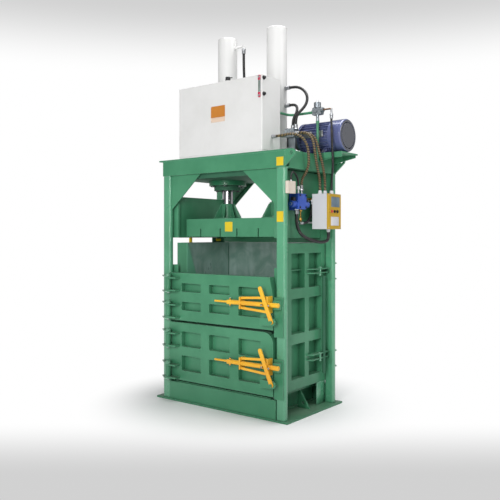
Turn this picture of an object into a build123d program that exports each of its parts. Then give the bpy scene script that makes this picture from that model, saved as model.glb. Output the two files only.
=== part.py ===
"""Vertical recycling baler with two cylinders over a bale chamber with front and rear doors.

The frame is four tubular posts on a floor plate, tied by channel beams and a crown plate.
Millimetres, +X to the right of the feed side, +Y to the rear, +Z up.
The origin is on the floor, in the middle of the frame.
"""
from build123d import *
from math import cos, pi, radians, sin, tan
import os

os.makedirs("parts", exist_ok=True)

# Chamber
chamber_half_width = 520
chamber_front = 90
chamber_height = 1250
floor_top = 180
floor_thickness = 15
wall_thickness = 12
wall_rib_depth = 68
wall_bottom_rise = 30
wall_rib_width = 62
wall_rail_height = 84
wall_window_radius = 6
wall_stiffener = 8
flare_reach = 55
flare_length = 60
closing_strip_height = 1050
slit_height = 45
upper_plate_height = 565
left_plate_height = 375
upper_plate_offset = 38
upper_plate_thickness = 8
upper_plate_gap = 30
bearer_width = 60
bearer_wall = 8
foot_height = 150
foot_reach = 100
foot_thickness = 12
foot_hole_radius = 14

# Frame
frame_side_room = 164
frame_depth = 795
base_thickness = 15
base_left_overhang = 70
base_right_overhang = 30
base_front_overhang = 12
base_rear_overhang = 60
post_width = 92
post_depth = 50
post_wall = 6
post_radius = 20
sill_height = 157
sill_thickness = 12
beam_height = 133
beam_wall = 10
beam_flange = 60
top_plate_thickness = 12
top_plate_overhang = 50
crown_thickness = 40
crown_side_gap = 5
crown_setback = 40
crown_web = 14
crown_web_offset = 185
gusset_leg = 352
gusset_drop = 310
gusset_thickness = 10
lug_reach = 95
lug_thickness = 15
lug_hole_radius = 17
lug_tip_radius = 34
weld_gap = 0.5

# Doors and hinges
door_thickness = 60
door_proud = 20
door_side_gap = 12
door_skin = 12
door_left_stile = 150
door_right_stile = 124
door_rib = 95
door_window_radius = 10
door_floor_rise = 20
door_gap = 20
lower_door_height = 515
lower_rails = (88, 80, 77)
lower_latch_drop = 16
upper_door_height = 425
upper_rails = (92, 90, 91)
upper_latch_drop = 5
door_corner_radius = 95
door_slant = 34
door_slant_height = 170
rear_rail = 90
hinge_pin_inset = 20
hinge_pin_proud = 56
hinge_pin_radius = 14
hinge_fit = 0.08
hinge_boss_radius = 30
hinge_height = 150
hinge_plate = 12
hinge_gap = 1
hinge_strap_reach = 113
hinge_inset = 4
pin_head_radius = 21
pin_head_height = 10
pin_end = 6

# Door latches
latch_axis_proud = 66
bolt_radius = 19
bolt_end_gap = 14
bolt_tail_radius = 9
bolt_tail_length = 165
bolt_clevis_width = 46
bolt_clevis_height = 34
bolt_chamfer = 4
clevis_pin_radius = 7
clevis_pin_length = 62
bolt_clearance = 0.6
yoke_to_clevis = 118
yoke_left_half = 40
yoke_right_half = 58
yoke_length = 281
yoke_to_pivot = 49
yoke_plate = 12
yoke_bar = 20
yoke_lip = 4
lever_angle = 22.9
lever_length = 286
lever_width = 32
lever_thickness = 14
lever_gap = 7
lever_pivot_reach = 28
lever_pivot_drop = 133
lever_pin_radius = 8
lever_play = 0.3
lug_stem_width = 60
lug_stem_height = 50
lug_plate_gap = 2
dog_radius = 7
dog_spacing = 36
dog_end = 4
dog_clearance = 1
keeper_thickness = 12
keeper_height = 320
keeper_below_share = 0.82
keeper_gap = 5
saddle_width = 56
saddle_height = 70
saddle_setback = 8
rear_bolt_radius = 15
rear_bolt_length = 400
rear_bolt_proud = 28
rear_guide_width = 24
rear_guide_height = 60
rear_guide_spacing = 200
rear_handle_height = 110

# Ram and cylinders
cylinder_spread = 283
cylinder_offset = 52.5
barrel_radius = 90
barrel_bore = 75
barrel_length = 1330
barrel_cap = 25
barrel_chamfer = 6
flange_radius = 173
flange_thickness = 43
gland_radius = 126
gland_thickness = 44
rod_radius = 47.5
rod_seat_gap = 0.1
running_fit = 0.05
piston_thickness = 60
piston_top_gap = 35
flange_bolt_circle = 148
flange_bolt_radius = 10
flange_bolt_count = 6
bolt_head_height = 13
nut_height = 16
platen_side_gap = 20
platen_front = 120
platen_rear_gap = 60
platen_rest_gap = 10
platen_height = 160
platen_floor = 20
platen_wall = 14
groove_width = 13
groove_height = 72
groove_inner = 95
groove_side_gap = 174
foot_flange_radius = 136
foot_flange_thickness = 15
rod_foot_height = 145
rod_boss_radius = 64
rod_rib_count = 8
rod_rib_thickness = 12
rod_rib_end = 10
port_drop = 95
port_reach = 102
upper_boss_drop = 545
lower_boss_drop = 698
boss_length = 8

# Oil tank and power pack
service_gap = 100
tank_left_reach = 480
tank_right_room = 228
tank_rail_height = 15
tank_height = 610
tank_edge_radius = 8
tank_outlet_setback = 141
tank_outlet_rise = 119
filler_x = -30
filler_setback = 150
filler_neck_radius = 16
filler_neck_height = 60
filler_cap_radius = 22
filler_cap_height = 30
gauge_inset = 24
gauge_height = 182
gauge_width = 20
gauge_depth = 14
gauge_block = 42
shelf_thickness = 12
shelf_left_margin = 85
shelf_right_margin = 120
shelf_half_depth = 137
shelf_bracket_height = 62
motor_gap = 27
motor_clearance = 82
motor_rise = 148
motor_radius = 122
motor_length = 330
motor_fin_height = 13
motor_fin_count = 28
fan_cover_length = 104
fan_cover_radius = 140
fan_cover_wall = 3
shaft_radius = 16
fan_radius = 112
fan_blades = 7
bell_radius = 92
bell_length = 70
pump_radius = 58
pump_length = 190
pipe_radius = 11
riser_reach = 16
riser_behind_cylinder = 10
riser_bottom_drop = 53
riser_height = 334
header_behind_riser = 8
header_rise = 79
header_tank_inset = 41
header_bend = 60
head_neck = 66
head_height = 110
bonnet_radius = 30
head_boss_radius = 18
manifold_gap = 14
manifold_width = 90
manifold_setback = 40
manifold_depth = 100
manifold_rise = 145
manifold_height = 70

# Valve gear and control box
valve_height = 130
valve_drop = 195
valve_depth = 120
valve_width = 92
valve_to_box = 100
solenoid_radius = 28
solenoid_length = 62
box_gap = 82
box_width = 160
box_depth = 210
box_height = 300
box_drop = 190
box_post_gap = 65
box_wall = 4
box_door_thickness = 16
box_door_gap = 0.5
box_knuckle_radius = 6
box_knuckle_height = 14
box_pin_radius = 2.5
box_knuckle_gap = 0.3
switch_height = 98
switch_depth = 105
switch_width = 28
switch_drop = 109
hose_radius = 10
striped_hose_radius = 9
cable_radius = 7
thin_cable_radius = 4
ferrule_length = 42

frame_width = 2 * (chamber_half_width + frame_side_room)
wall_bottom = floor_top + wall_bottom_rise
wall_top = floor_top + chamber_height
upper_plate_bottom = wall_top + slit_height
left_plate_top = upper_plate_bottom + left_plate_height
beam_bottom = upper_plate_bottom + upper_plate_height
plate_bottom = beam_bottom + beam_height
frame_top = plate_bottom + top_plate_thickness
front_y = -frame_depth / 2
rear_y = frame_depth / 2
side_x = frame_width / 2
post_inner_x = side_x - post_width
rear_post_y = rear_y - post_depth
plate_outer_x = chamber_half_width + upper_plate_offset
crown_half_width = plate_outer_x - upper_plate_thickness - crown_side_gap
crown_bottom = beam_bottom - crown_thickness
cylinder_setback = frame_depth / 2 + cylinder_offset
cylinder_y = front_y + cylinder_setback
barrel_top = crown_bottom + barrel_length
flange_bottom = crown_bottom - flange_thickness
gland_bottom = flange_bottom - gland_thickness
platen_half_width = chamber_half_width - platen_side_gap
platen_rear = frame_depth - platen_rear_gap
platen_bottom = upper_plate_bottom + platen_rest_gap
platen_top = platen_bottom + platen_height
groove_outer = platen_half_width - groove_side_gap
door_half_width = post_inner_x - door_side_gap
door_window_width = (2 * door_half_width - door_left_stile - door_right_stile - 2 * door_rib) / 3
lower_door_bottom = floor_top + door_floor_rise
lower_door_top = lower_door_bottom + lower_door_height
upper_door_bottom = lower_door_top + door_gap
upper_door_top = upper_door_bottom + upper_door_height
hinge_pin_x = door_half_width - hinge_pin_inset
lever_pivot_x = post_inner_x + lever_pivot_reach
yoke_right_x = lever_pivot_x - yoke_to_pivot
yoke_left_x = yoke_right_x - yoke_length
bolt_clevis_x = yoke_left_x - yoke_to_clevis
bolt_tail_x = bolt_clevis_x - bolt_tail_length
bolt_end_x = side_x - bolt_end_gap
tank_left = -tank_left_reach
tank_right = side_x - tank_right_room
tank_depth = cylinder_setback - barrel_radius - service_gap
tank_bottom = frame_top + tank_rail_height
tank_top = tank_bottom + tank_height
gauge_x = tank_right - gauge_inset
gauge_top = tank_top - 3
gauge_bottom = gauge_top - gauge_height
motor_left = cylinder_spread + barrel_radius + bell_length + motor_gap
motor_right = motor_left + motor_length
motor_setback = cylinder_setback + barrel_radius + motor_clearance
motor_z = frame_top + shelf_thickness + motor_rise
shelf_left = motor_left - shelf_left_margin
shelf_right = motor_right + shelf_right_margin
riser_x = side_x + riser_reach
riser_setback = cylinder_setback + riser_behind_cylinder
riser_bottom = frame_top - riser_bottom_drop
riser_top = riser_bottom + riser_height
header_setback = riser_setback + header_behind_riser
header_z = riser_top + header_rise
header_left_x = tank_right - header_tank_inset
manifold_left = tank_right + manifold_gap
manifold_right = manifold_left + manifold_width
manifold_front = tank_depth + manifold_setback
manifold_rear = manifold_front + manifold_depth
manifold_bottom = frame_top + manifold_rise
manifold_top = manifold_bottom + manifold_height
box_inner_x = plate_outer_x + box_gap
box_outer_x = box_inner_x + box_width
box_rear = frame_depth - post_depth - box_post_gap
box_front = box_rear - box_depth
box_top = beam_bottom - box_drop
box_bottom = box_top - box_height
valve_outer_x = plate_outer_x + valve_width
valve_rear = box_front - valve_to_box
valve_front = valve_rear - valve_depth
valve_top = beam_bottom - valve_drop
valve_bottom = valve_top - valve_height
switch_bottom = beam_bottom - switch_drop - switch_height


def write_step(piece, name):
    """Label a finished piece and write its file."""
    piece.part.label = name
    export_step(piece.part, f"parts/{name}.step")


def block(x, y, z, mode=Mode.ADD):
    """A rectangular block between low and high limits on each axis."""
    with Locations(((x[0] + x[1]) / 2, (y[0] + y[1]) / 2, (z[0] + z[1]) / 2)):
        Box(abs(x[1] - x[0]), abs(y[1] - y[0]), abs(z[1] - z[0]), mode=mode)


def bar(start, direction, radius, length, mode=Mode.ADD):
    """A round bar from a start point along a direction."""
    with Locations(Plane(origin=start, z_dir=direction)):
        Cylinder(radius, length, align=(Align.CENTER, Align.CENTER, Align.MIN), mode=mode)


# Floor plate
with BuildPart() as base_plate:
    block(
        (-side_x - base_left_overhang, side_x + base_right_overhang),
        (front_y - base_front_overhang, rear_y + base_rear_overhang),
        (0, base_thickness),
    )
    fillet(base_plate.edges().filter_by(Axis.Z), radius=6)
write_step(base_plate, "base_plate")


def post(x, y):
    """A round-cornered tube from the floor plate to the beams."""
    with BuildPart() as piece:
        with BuildSketch(Plane(origin=(x, y, base_thickness))):
            RectangleRounded(post_width, post_depth, post_radius)
            RectangleRounded(
                post_width - 2 * post_wall, post_depth - 2 * post_wall,
                post_radius - post_wall, mode=Mode.SUBTRACT,
            )
        extrude(amount=beam_bottom - base_thickness)
    return piece


post_x = side_x - post_width / 2
for end, y in (("front", front_y + post_depth / 2), ("rear", rear_y - post_depth / 2)):
    with BuildPart() as posts:
        add(post(-post_x, y).part)
        add(post(post_x, y).part)
    write_step(posts, f"{end}_posts")

# Sill plates between the posts, front and rear
with BuildPart() as sill_plates:
    for low in (front_y, rear_y - sill_thickness):
        block(
            (-post_inner_x, post_inner_x), (low, low + sill_thickness),
            (base_thickness, base_thickness + sill_height),
        )
write_step(sill_plates, "sill_plates")


def channel_beam(length, plane):
    """A channel with its web at the plane's y = 0 and its flanges pointing to +y."""
    with BuildPart() as piece:
        with BuildSketch(plane):
            with BuildLine():
                Polyline(
                    (0, 0), (beam_flange, 0), (beam_flange, beam_wall), (beam_wall, beam_wall),
                    (beam_wall, beam_height - beam_wall), (beam_flange, beam_height - beam_wall),
                    (beam_flange, beam_height), (0, beam_height), close=True,
                )
            make_face()
        extrude(amount=length)
    return piece


# Front and rear beams with their webs outwards, sitting on the posts
with BuildPart() as cross_beams:
    add(channel_beam(frame_width, Plane(
        origin=(-side_x, front_y, beam_bottom), x_dir=(0, 1, 0), z_dir=(1, 0, 0)
    )).part)
    add(channel_beam(frame_width, Plane(
        origin=(side_x, rear_y, beam_bottom), x_dir=(0, -1, 0), z_dir=(-1, 0, 0)
    )).part)
write_step(cross_beams, "cross_beams")

# Side beams between them
side_beam_length = frame_depth - 2 * beam_flange
with BuildPart() as side_beams:
    add(channel_beam(side_beam_length, Plane(
        origin=(side_x, front_y + beam_flange, beam_bottom), x_dir=(-1, 0, 0), z_dir=(0, 1, 0)
    )).part)
    add(channel_beam(side_beam_length, Plane(
        origin=(-side_x, rear_y - beam_flange, beam_bottom), x_dir=(1, 0, 0), z_dir=(0, -1, 0)
    )).part)
write_step(side_beams, "side_beams")

# Top plate, pierced by the cylinders
barrel_hole = barrel_radius + weld_gap
with BuildPart() as top_plate:
    block(
        (-side_x - top_plate_overhang, side_x), (front_y, rear_y), (plate_bottom, frame_top)
    )
    with Locations((-cylinder_spread, cylinder_y, plate_bottom), (cylinder_spread, cylinder_y, plate_bottom)):
        Cylinder(
            barrel_hole, top_plate_thickness,
            align=(Align.CENTER, Align.CENTER, Align.MIN), mode=Mode.SUBTRACT,
        )
write_step(top_plate, "top_plate")

# Crown plate under the beams, stiffened up to the top plate, with the cylinder bolt holes
flange_bolt_hole = flange_bolt_radius + weld_gap
with BuildPart() as crown_plate:
    block(
        (-crown_half_width, crown_half_width), (front_y + crown_setback, rear_y - crown_setback),
        (crown_bottom, beam_bottom),
    )
    for offset in (-crown_web_offset, crown_web_offset):
        web_y = cylinder_y + offset
        block(
            (-crown_half_width, crown_half_width), (web_y - crown_web / 2, web_y + crown_web / 2),
            (beam_bottom, plate_bottom),
        )
    for x in (-crown_half_width + crown_web / 2, 0, crown_half_width - crown_web / 2):
        block(
            (x - crown_web / 2, x + crown_web / 2),
            (cylinder_y - crown_web_offset, cylinder_y + crown_web_offset),
            (beam_bottom, plate_bottom),
        )
    with Locations((-cylinder_spread, cylinder_y, crown_bottom), (cylinder_spread, cylinder_y, crown_bottom)):
        Cylinder(
            barrel_hole, crown_thickness,
            align=(Align.CENTER, Align.CENTER, Align.MIN), mode=Mode.SUBTRACT,
        )
        with PolarLocations(flange_bolt_circle, flange_bolt_count):
            Cylinder(
                flange_bolt_hole, crown_thickness,
                align=(Align.CENTER, Align.CENTER, Align.MIN), mode=Mode.SUBTRACT,
            )
write_step(crown_plate, "crown_plate")

# Corner gussets under the beams, in the middle of the posts' depth
with BuildPart() as corner_gussets:
    for y in (front_y + post_depth / 2, rear_y - post_depth / 2):
        with BuildSketch(Plane(origin=(0, y, 0), x_dir=(1, 0, 0), z_dir=(0, -1, 0))):
            for side in (-1, 1):
                with BuildLine():
                    Polyline(
                        (side * post_inner_x, beam_bottom),
                        (side * (post_inner_x - gusset_leg), beam_bottom),
                        (side * post_inner_x, beam_bottom - gusset_drop), close=True,
                    )
                make_face()
        extrude(amount=gusset_thickness / 2, both=True)
write_step(corner_gussets, "corner_gussets")

# Lifting lugs on the right ends of the front and rear beams
lug_centre_z = frame_top - lug_tip_radius
lug_centre_x = side_x + lug_reach - lug_tip_radius
with BuildPart() as lifting_lugs:
    for y in (front_y, rear_y - lug_thickness):
        with BuildSketch(Plane(origin=(0, y, 0), x_dir=(1, 0, 0), z_dir=(0, -1, 0))):
            with BuildLine():
                Polyline(
                    (side_x, beam_bottom + beam_wall), (side_x, frame_top), (lug_centre_x, frame_top),
                    (lug_centre_x + lug_tip_radius * cos(pi / 4), lug_centre_z - lug_tip_radius * sin(pi / 4)),
                    close=True,
                )
            make_face()
            with Locations((lug_centre_x, lug_centre_z)):
                Circle(lug_tip_radius)
                Circle(lug_hole_radius, mode=Mode.SUBTRACT)
        extrude(amount=-lug_thickness)
write_step(lifting_lugs, "lifting_lugs")


def side_wall(side):
    """A chamber side: a web flared at the front, with stiles and rails welded outside."""
    web_outer = chamber_half_width + wall_thickness
    rib_outer = chamber_half_width + wall_rib_depth + wall_thickness
    front = front_y + chamber_front
    flare_back = front + flare_length
    flare_x = chamber_half_width + flare_reach
    with BuildPart() as piece:
        with BuildSketch(Plane.XY.offset(floor_top)):
            with BuildLine():
                Polyline(
                    (side * chamber_half_width, rear_post_y), (side * chamber_half_width, flare_back),
                    (side * flare_x, front), (side * (flare_x + wall_thickness), front),
                    (side * web_outer, flare_back + wall_thickness), (side * web_outer, rear_post_y),
                    close=True,
                )
            make_face()
        extrude(amount=wall_top - floor_top)
        rib_front = flare_back
        column = (rear_post_y - rib_front - 3 * wall_rib_width) / 2
        row = (wall_top - wall_bottom - 4 * wall_rail_height) / 3
        with BuildSketch(Plane(
            origin=(side * rib_outer, (rib_front + rear_post_y) / 2, (wall_bottom + wall_top) / 2),
            x_dir=(0, side, 0), z_dir=(side, 0, 0),
        )):
            Rectangle(rear_post_y - rib_front, wall_top - wall_bottom)
            with GridLocations(column + wall_rib_width, row + wall_rail_height, 2, 3):
                RectangleRounded(column, row, wall_window_radius, mode=Mode.SUBTRACT)
        extrude(amount=-wall_rib_depth)
        stiffener_z = wall_top - wall_rail_height - row / 2
        block(
            (side * web_outer, side * (web_outer + wall_rib_depth / 2)), (rib_front, rear_post_y),
            (stiffener_z, stiffener_z + wall_stiffener),
        )
        block(
            (side * flare_x, side * (flare_x + wall_thickness)), (front_y + post_depth, front),
            (floor_top, floor_top + closing_strip_height),
        )
    return piece


write_step(side_wall(-1), "side_wall_left")
write_step(side_wall(1), "side_wall_right")

# Plates above the side walls, over a slit for the strapping; the right one carries the valves
with BuildPart() as upper_side_plates:
    for side, top in ((-1, left_plate_top), (1, beam_bottom)):
        inner = plate_outer_x - upper_plate_thickness
        block(
            (side * inner, side * plate_outer_x), (front_y + post_depth + upper_plate_gap, rear_post_y),
            (upper_plate_bottom, top),
        )
        block(
            (side * plate_outer_x, side * (side_x - post_wall)),
            (rear_post_y - upper_plate_thickness, rear_post_y), (upper_plate_bottom, top),
        )
write_step(upper_side_plates, "upper_side_plates")

# Chamber floor on channel bearers, with a pierced triangular foot outside each wall
with BuildPart() as chamber_floor:
    block(
        (-chamber_half_width - wall_thickness, chamber_half_width + wall_thickness),
        (front_y + sill_thickness + weld_gap, rear_post_y), (floor_top - floor_thickness, floor_top),
    )
    bearer_top = floor_top - floor_thickness
    for x in (-chamber_half_width + bearer_width, 0, chamber_half_width - bearer_width):
        low, high = front_y + post_depth, rear_post_y
        block((x - bearer_wall / 2, x + bearer_wall / 2), (low, high), (base_thickness, bearer_top))
        block((x - bearer_width / 2, x + bearer_width / 2), (low, high), (base_thickness, base_thickness + bearer_wall))
        block((x - bearer_width / 2, x + bearer_width / 2), (low, high), (bearer_top - bearer_wall, bearer_top))
    foot_x = chamber_half_width + wall_thickness
    with BuildSketch(Plane(origin=(0, cylinder_y, 0), x_dir=(1, 0, 0), z_dir=(0, -1, 0))):
        for side in (-1, 1):
            with BuildLine():
                Polyline(
                    (side * foot_x, base_thickness), (side * (foot_x + foot_reach), base_thickness),
                    (side * foot_x, base_thickness + foot_height), close=True,
                )
            make_face()
            with Locations((side * (foot_x + foot_reach * 0.3), base_thickness + foot_height * 0.3)):
                Circle(foot_hole_radius, mode=Mode.SUBTRACT)
            with Locations((side * (foot_x - foot_thickness), (base_thickness + bearer_top) / 2)):
                Rectangle(2 * foot_thickness, bearer_top - base_thickness)
    extrude(amount=foot_thickness / 2, both=True)
write_step(chamber_floor, "chamber_floor")


def door_leaf(outline, rows, first_window, face_y, inward):
    """A door leaf: a skin behind a grid of rails, from its outline in the XZ plane.

    The outer face is at face_y and the leaf goes inward from there, along inward * Y.
    """
    with BuildPart() as leaf:
        with BuildSketch(Plane(origin=(0, face_y, 0), x_dir=(1, 0, 0), z_dir=(0, -1, 0))):
            with BuildLine():
                outline()
            make_face()
        extrude(amount=-inward * door_thickness)
        with BuildSketch(Plane(origin=(0, face_y, 0), x_dir=(1, 0, 0), z_dir=(0, -1, 0))):
            for column in range(3):
                x = first_window + column * (door_window_width + door_rib) + door_window_width / 2
                for low, high in rows:
                    with Locations((x, (low + high) / 2)):
                        RectangleRounded(door_window_width, high - low, door_window_radius)
        extrude(amount=-inward * (door_thickness - door_skin), mode=Mode.SUBTRACT)
    return leaf


def hinge_straps(x, y, side, door_side, low):
    """Two strap plates and a boss tube on a door at one hinge, bored for the pin."""
    strap_low = low + hinge_plate + hinge_gap
    strap_high = low + hinge_height - hinge_plate - hinge_gap
    back = y + door_side * (hinge_pin_proud - door_proud)
    for z in (strap_low, strap_high - hinge_plate):
        block((x, x + side * hinge_strap_reach), (y - door_side * hinge_boss_radius, back), (z, z + hinge_plate))
    bar((x, y, strap_low), (0, 0, 1), hinge_boss_radius - hinge_plate / 2, strap_high - strap_low)
    for z in (strap_low, strap_high - hinge_plate):
        bar((x, y, z), (0, 0, 1), hinge_boss_radius, hinge_plate)
    bar(
        (x, y, strap_low), (0, 0, 1), hinge_pin_radius + hinge_fit, strap_high - strap_low,
        mode=Mode.SUBTRACT,
    )


front_face = front_y - door_proud
front_pin_y = front_y - hinge_pin_proud
latch_y = front_y - latch_axis_proud
lever_back = latch_y - bolt_radius - lever_gap
first_window = -door_half_width + door_left_stile
upper_hinges = (upper_door_bottom + 10, upper_door_top - 25 - hinge_height)
lower_hinges = (lower_door_bottom + 3.5, lower_door_top - 75 - hinge_height)


def upper_outline():
    """Upper leaf with its free upper corner cut back."""
    Polyline(
        (-door_half_width, upper_door_bottom), (door_half_width, upper_door_bottom),
        (door_half_width, upper_door_top - door_slant_height),
        (door_half_width - door_slant, upper_door_top), (-door_half_width, upper_door_top), close=True,
    )


def lower_outline():
    """Lower leaf with a large round at its free upper corner."""
    FilletPolyline(
        (-door_half_width, lower_door_bottom), (door_half_width, lower_door_bottom),
        (door_half_width, lower_door_top), (-door_half_width, lower_door_top),
        radius=[2, 2, door_corner_radius, 2], close=True,
    )


def latch_lug(latch_z):
    """The lug on a door that carries the lever's pivot pin, with the pin and its head."""
    pivot_z = latch_z - lever_pivot_drop
    plate_y = lever_back + lug_plate_gap
    stem = (lever_pivot_x - 2 * lug_stem_width, lever_pivot_x - lug_stem_width)
    stem_z = (pivot_z - lug_stem_height / 2, pivot_z + lug_stem_height / 2)
    block(stem, (plate_y + hinge_plate, front_face), stem_z)
    block(
        (stem[0], lever_pivot_x), (plate_y, plate_y + hinge_plate),
        (pivot_z - hinge_boss_radius, pivot_z + hinge_boss_radius),
    )
    bar((lever_pivot_x, plate_y, pivot_z), (0, 1, 0), hinge_boss_radius, hinge_plate)
    pin_length = lever_thickness + 2 * lug_plate_gap + 4
    bar((lever_pivot_x, plate_y, pivot_z), (0, -1, 0), lever_pin_radius, pin_length)
    head_y = lever_back - lever_thickness - lug_plate_gap
    bar((lever_pivot_x, head_y, pivot_z), (0, -1, 0), lever_pin_radius + 6, 6)


def rows_between(low, high, rails):
    """The lower and upper window rows between three rails."""
    bottom_rail, middle_rail, top_rail = rails
    clear = (high - low - bottom_rail - middle_rail - top_rail) / 2
    first = (low + bottom_rail, low + bottom_rail + clear)
    return (first, (first[1] + middle_rail, first[1] + middle_rail + clear))


upper_rows = rows_between(upper_door_bottom, upper_door_top, upper_rails)
lower_rows = rows_between(lower_door_bottom, lower_door_top, lower_rails)
upper_latch_z = (upper_rows[0][1] + upper_rows[1][0]) / 2 - upper_latch_drop
lower_latch_z = (lower_rows[0][1] + lower_rows[1][0]) / 2 - lower_latch_drop
doors = {
    "upper_door": (upper_outline, upper_rows, upper_hinges, upper_latch_z),
    "lower_door": (lower_outline, lower_rows, lower_hinges, lower_latch_z),
}
for name, (outline, rows, hinges, latch_z) in doors.items():
    with BuildPart() as door:
        add(door_leaf(outline, rows, first_window, front_face, 1).part)
        for low in hinges:
            hinge_straps(-hinge_pin_x, front_pin_y, 1, 1, low)
        latch_lug(latch_z)
    write_step(door, name)

# Rear door, hinged on the right, with three rows of windows
rear_face = rear_y + door_proud
rear_pin_y = rear_y + hinge_pin_proud
rear_door_bottom = lower_door_bottom
rear_door_top = wall_top
rear_hinges = (rear_door_bottom + 130, rear_door_top - 175 - hinge_height)
rear_row = (rear_door_top - rear_door_bottom - 4 * rear_rail) / 3
rear_bolt_z = rear_door_bottom + 1.5 * rear_rail + rear_row
rear_rows = []
for index in range(3):
    row_low = rear_door_bottom + rear_rail + index * (rear_row + rear_rail)
    rear_rows.append((row_low, row_low + rear_row))


def rear_outline():
    """Plain rectangle between the rear posts."""
    Polyline(
        (-door_half_width, rear_door_bottom), (door_half_width, rear_door_bottom),
        (door_half_width, rear_door_top), (-door_half_width, rear_door_top), close=True,
    )


rear_first_window = -door_half_width + door_right_stile
guide_xs = (-door_half_width + 30, -door_half_width + 30 + rear_guide_spacing)
rear_bolt_y = rear_face + rear_bolt_proud
rear_guide_z = (rear_bolt_z - rear_guide_height / 2, rear_bolt_z + rear_guide_height / 2)
with BuildPart() as rear_door:
    add(door_leaf(rear_outline, rear_rows, rear_first_window, rear_face, -1).part)
    for low in rear_hinges:
        hinge_straps(hinge_pin_x, rear_pin_y, -1, -1, low)
    for x in guide_xs:
        block((x, x + rear_guide_width), (rear_face, rear_face + 2 * rear_bolt_proud), rear_guide_z)
        bar(
            (x, rear_bolt_y, rear_bolt_z), (1, 0, 0), rear_bolt_radius + bolt_clearance, rear_guide_width,
            mode=Mode.SUBTRACT,
        )
write_step(rear_door, "rear_door")

# Round bolt across the rear door's free edge, with a handle standing up from it
with BuildPart() as rear_bolt:
    handle_x = (guide_xs[0] + guide_xs[1]) / 2 + 20
    bar((-side_x + 20, rear_bolt_y, rear_bolt_z), (1, 0, 0), rear_bolt_radius, rear_bolt_length)
    bar((handle_x, rear_bolt_y, rear_bolt_z), (0, 0, 1), 8, rear_handle_height)
    with Locations((handle_x, rear_bolt_y, rear_bolt_z + rear_handle_height)):
        Sphere(14)
write_step(rear_bolt, "rear_bolt")


def hinge_bracket(side, door_side, low, z_shift):
    """One fixed hinge plate: welded to the post's face and rounded about the pin."""
    pin_y = door_side * (frame_depth / 2 + hinge_pin_proud)
    post_face = door_side * frame_depth / 2
    z = low + z_shift
    inner = post_inner_x + hinge_inset / 2
    clear_face = post_face + door_side * (door_proud + hinge_inset)
    block((side * side_x, side * inner), (pin_y + door_side * hinge_boss_radius, post_face), (z, z + hinge_plate))
    block(
        (side * side_x, side * hinge_pin_x), (pin_y + door_side * hinge_boss_radius, clear_face),
        (z, z + hinge_plate),
    )
    bar((side * hinge_pin_x, pin_y, z), (0, 0, 1), hinge_boss_radius, hinge_plate)
    bar(
        (side * hinge_pin_x, pin_y, z), (0, 0, 1), hinge_pin_radius + hinge_fit, hinge_plate,
        mode=Mode.SUBTRACT,
    )


with BuildPart() as hinge_brackets:
    for low in upper_hinges + lower_hinges:
        for z_shift in (0, hinge_height - hinge_plate):
            hinge_bracket(-1, -1, low, z_shift)
    for low in rear_hinges:
        for z_shift in (0, hinge_height - hinge_plate):
            hinge_bracket(1, 1, low, z_shift)
write_step(hinge_brackets, "hinge_brackets")

# Headed hinge pins, one to a hinge
with BuildPart() as hinge_pins:
    pin_places = [(-hinge_pin_x, front_pin_y, low) for low in upper_hinges + lower_hinges]
    pin_places += [(hinge_pin_x, rear_pin_y, low) for low in rear_hinges]
    for x, y, low in pin_places:
        bar((x, y, low - pin_end), (0, 0, 1), hinge_pin_radius, hinge_height + pin_end)
        bar((x, y, low + hinge_height), (0, 0, 1), pin_head_radius, pin_head_height)
write_step(hinge_pins, "hinge_pins")

# Keepers on the posts, each with a saddle that a bolt lies in
keeper_left = door_half_width + keeper_gap
saddle = (lever_pivot_x - 12, lever_pivot_x - 12 + saddle_width)
saddle_back = front_y - keeper_thickness
with BuildPart() as keeper_plates:
    for latch_z in (upper_latch_z, lower_latch_z):
        keeper_low = latch_z - keeper_height * keeper_below_share
        block(
            (keeper_left, side_x - post_radius / 2), (saddle_back, front_y),
            (keeper_low, keeper_low + keeper_height),
        )
        block(
            saddle, (latch_y + saddle_setback, saddle_back),
            (latch_z - saddle_height / 2, latch_z + saddle_height / 2),
        )
        bar(
            (saddle[0], latch_y, latch_z), (1, 0, 0), bolt_radius + bolt_clearance, saddle[1] - saddle[0],
            mode=Mode.SUBTRACT,
        )
    rear_saddle = (-side_x + 15, -side_x + 60)
    block(rear_saddle, (rear_y, rear_bolt_y - saddle_setback), rear_guide_z)
    bar(
        (rear_saddle[0], rear_bolt_y, rear_bolt_z), (1, 0, 0), rear_bolt_radius + bolt_clearance,
        rear_saddle[1] - rear_saddle[0], mode=Mode.SUBTRACT,
    )
write_step(keeper_plates, "keeper_plates")

lever_cross_x = lever_pivot_x - lever_pivot_drop * tan(radians(lever_angle))


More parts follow.
